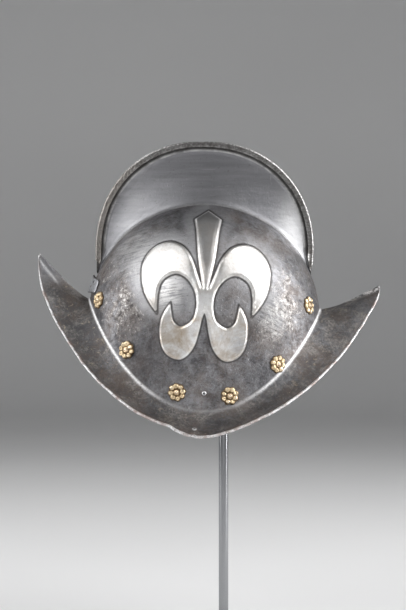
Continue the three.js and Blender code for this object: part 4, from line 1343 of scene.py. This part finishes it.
def old_steel():
    m = OldSteel()
    for lay in (m.lay_ground, m.lay_bowl, m.lay_brim, m.lay_comb, m.lay_lily, m.lay_edges, m.lay_wear_and_highlight):
        lay()
    pits = m.times(m.span(m.noise(640, 3, 0.6), 0.57, 0.68), m.ground)
    return m.finish(m.roughness(), [
        (m.mottle, 0.0008, 0.34), (m.brushed, 0.00014, 0.3), (m.fine, 0.0003, 0.4),
        (m.without(pits), 0.0003, 0.6), (m.without(m.scratches), 0.00004, 0.4), (m.grain, 0.00004, 0.4),
    ])


def plate_steel():
    m = Paint("plate_steel")
    mottle, fine = m.noise(90, 5, 0.6, bend=0.4), m.noise(420, 4, 0.6)
    dark = m.span(m.weigh((mottle, 0.7), (fine, 0.3)), 0.42, 0.6)
    m.colour = m.mix(dark, (0.64, 0.65, 0.68), (0.43, 0.435, 0.46))
    m.lay(m.span(m.noise(300, 3, 0.6), 0.6, 0.68), (0.2, 0.15, 0.12))
    m.lay(m.times(m.mark("edge"), 0.9), (0.92, 0.91, 0.90))
    # Painted shade round the plate's edge, on its back, in its holes and in the rivets' middles
    m.lay(m.times(m.mark("painted_shade"), 0.85), (0.035, 0.032, 0.03))
    return m.finish(m.plus(0.34, m.times(dark, 0.15)), [(mottle, 0.0003, 0.4), (fine, 0.00012, 0.5)])


def strip_steel():
    m = Paint("strip_steel")
    nick = m.span(m.mark("nick"), 0.05, 0.4)
    mottle, fine = m.noise(120, 5, 0.62), m.noise(600, 4, 0.6)
    worn = m.span(m.weigh((mottle, 0.6), (fine, 0.4)), 0.42, 0.58)
    m.colour = m.mix(worn, (0.33, 0.325, 0.32), (0.13, 0.124, 0.12))
    m.lay(m.times(m.mark("edge"), m.span(fine, 0.36, 0.56, 1.0, 0.2)), (0.88, 0.87, 0.86))
    m.lay(m.times(m.mark("shade"), m.span(fine, 0.46, 0.62, 0.8, 0.3)), (0.25, 0.228, 0.208))
    m.lay(m.times(nick, 0.75), (0.07, 0.062, 0.056))
    rough = m.plus(0.3, m.weigh((worn, 0.12), (nick, 0.15)))
    return m.finish(rough, [(mottle, 0.0003, 0.5), (fine, 0.00015, 0.5)])


def gilt_brass():
    m = Paint("gilt_brass")
    mottle, fine = m.noise(420, 4, 0.6), m.noise(1500, 3, 0.5)
    high = m.plus(m.mark("relief"), m.swing(mottle, 0.5))
    m.colour = m.mix(m.span(high, 0.12, 0.75), (0.17, 0.115, 0.065), (0.85, 0.67, 0.43))
    m.lay(m.span(high, 0.7, 1.05), (0.96, 0.84, 0.64))
    m.lay(m.times(m.mark("middle"), m.span(mottle, 0.4, 0.6), 0.45), (0.80, 0.56, 0.45))
    return m.finish(m.span(high, 0.1, 0.9, 0.55, 0.27), [(mottle, 0.00025, 0.4), (fine, 0.00006, 0.5)])


def bright_chrome():
    m = Paint("bright_chrome")
    brushed, smear = m.noise(1, 3, 0.5, m.stretch((260, 260, 18))), m.noise(60, 3, 0.5)
    m.colour = m.mix(smear, (0.30, 0.305, 0.32), (0.35, 0.355, 0.365))
    rough = m.span(m.weigh((brushed, 0.6), (smear, 0.4)), 0.35, 0.65, 0.10, 0.18)
    return m.finish(rough, [(brushed, 0.00002, 0.3)])


def black_metal():
    m = Paint("black_metal")
    grain, cloud = m.noise(1400, 3, 0.55), m.noise(24, 3, 0.5)
    m.colour = m.mix(cloud, (0.016, 0.016, 0.017), (0.032, 0.031, 0.031))
    rough = m.span(m.weigh((grain, 0.5), (cloud, 0.5)), 0.35, 0.65, 0.38, 0.56)
    return m.finish(rough, [(grain, 0.00006, 0.6)], 0.0)


def pad_leather():
    m = Paint("pad_leather")
    cracks, grain = m.span(m.creases(620), 0.0, 0.09), m.noise(1300, 3, 0.5)
    m.colour = m.mix(m.noise(40, 4, 0.6), (0.045, 0.032, 0.025), (0.095, 0.068, 0.05))
    m.lay(m.without(cracks), (0.02, 0.015, 0.012))
    rough = m.span(grain, 0.3, 0.7, 0.55, 0.72)
    return m.finish(rough, [(cracks, 0.00022, 0.6), (grain, 0.00008, 0.4)], 0.0)


def pale_paper():
    m = Paint("pale_paper")
    grain = m.noise(900, 2, 0.5)
    m.colour = m.mix(m.noise(1.6, 3, 0.5), (0.74, 0.74, 0.745), (0.79, 0.79, 0.79))
    m.put(m.colour, m.shader.inputs["Emission Color"])
    m.put(PAPER_GLOW, m.shader.inputs["Emission Strength"])
    return m.finish(m.span(grain, 0.3, 0.7, 0.75, 0.9), [(grain, 0.0001, 0.2)], 0.0)


def paint(things, material):
    for thing in things:
        thing.data.materials.clear()
        thing.data.materials.append(material)


# Making the object

near = dress(skull_half("skull_near_fine", 11, 1), "skull_steel", "skull_near_half")
far = dress(skull_half("skull_far_fine", 29, -1), "skull_steel", "skull_far_half")
strip = dress(crest_strip(), "skull_steel")
plate = dress(back_plate(), "plate_steel", "back_plate")
rosettes = []
rivets = []
for side_name, side in (("near", 1), ("far", -1)):
    for number, along, above in ROSETTES:
        name = f"rosette_{side_name}_{number}"
        made = rosette(name + "_fine", (along, above), side, 100 * (side + 2) + int(number))
        rosettes.append(dress(made, "gilt_brass", name))
    name = f"small_rivet_{side_name}"
    rivets.append(dress(small_rivet(name + "_fine", side), "plate_steel", name))
base = dress(stand_base(), "stand_black", "stand_base")
rod = dress(stand_rod(), "stand_chrome", "stand_rod")
pad = dress(rod_pad(), "pad_leather", "rod_pad")

paint([near, far], old_steel())
paint([strip], strip_steel())
paint([plate, *rivets], plate_steel())
paint(rosettes, gilt_brass())
paint([rod], bright_chrome())
paint([base], black_metal())
paint([pad], pad_leather())


# Stage, light and camera

def sweep():
    """Pale round floor that rises in one curve into a wall all round."""
    bend = np.linspace(0.1, math.pi / 2, 14)
    line = [(radius, 0) for radius in (0.3, 1.2, 2.4, FLOOR_RADIUS)]
    line += [(FLOOR_RADIUS + FLOOR_BEND * math.sin(t), FLOOR_BEND - FLOOR_BEND * math.cos(t)) for t in bend]
    line.append((FLOOR_RADIUS + FLOOR_BEND, WALL_HEIGHT))
    angle = np.linspace(0, 2 * math.pi, FLOOR_SIDES, endpoint=False)
    points = [(0, 0, 0)] + [(r * math.cos(t), r * math.sin(t), z) for r, z in line for t in angle]
    points = np.array(points, dtype=float) - [0, 0, FLOOR_DROP]
    grid = 1 + np.arange(len(line) * FLOOR_SIDES).reshape(-1, FLOOR_SIDES)
    faces = quads_of(grid, True).tolist() + fan(0, grid[0])
    thing = make_object("studio_sweep", points, faces, None, 60)
    thing.data.materials.append(pale_paper())


def softbox(name, azimuth, height, distance, size, power, target=HELMET_PLACE):
    """Area light seen from the object at that azimuth (0 towards the camera, positive to the right)."""
    a, e = math.radians(azimuth), math.radians(height)
    target = Vector(target)
    place = target + distance * Vector((math.sin(a) * math.cos(e), -math.cos(a) * math.cos(e), math.sin(e)))
    data = bpy.data.lights.new(name, "AREA")
    data.shape = "RECTANGLE"
    data.size, data.size_y = size
    data.energy = power
    light = bpy.data.objects.new(name, data)
    light.location = place
    light.rotation_mode = "QUATERNION"
    light.rotation_quaternion = (place - target).to_track_quat("Z", "Y")
    light.visible_camera = False
    bpy.context.scene.collection.objects.link(light)


def studio():
    world = bpy.data.worlds.new("studio_air")
    world.use_nodes = True
    air = world.node_tree.nodes["Background"].inputs
    air["Color"].default_value = (0.9, 0.95, 1.0, 1)
    air["Strength"].default_value = AIR_STRENGTH
    bpy.context.scene.world = world
    for light in LIGHTS:
        softbox(*light)
    softbox("backdrop_light", 180, 34, 3.3, (3.6, 1.0), 42, target=BACKDROP_PLACE)
    bpy.context.scene.view_settings.view_transform = "Standard"
    camera = bpy.data.objects.new("camera", bpy.data.cameras.new("camera"))
    camera.location = CAMERA_PLACE
    camera.rotation_euler = (math.pi / 2, 0, 0)
    camera.data.lens = CAMERA_LENS
    camera.data.sensor_width = CAMERA_SENSOR
    bpy.context.scene.collection.objects.link(camera)
    bpy.context.scene.camera = camera


sweep()
studio()
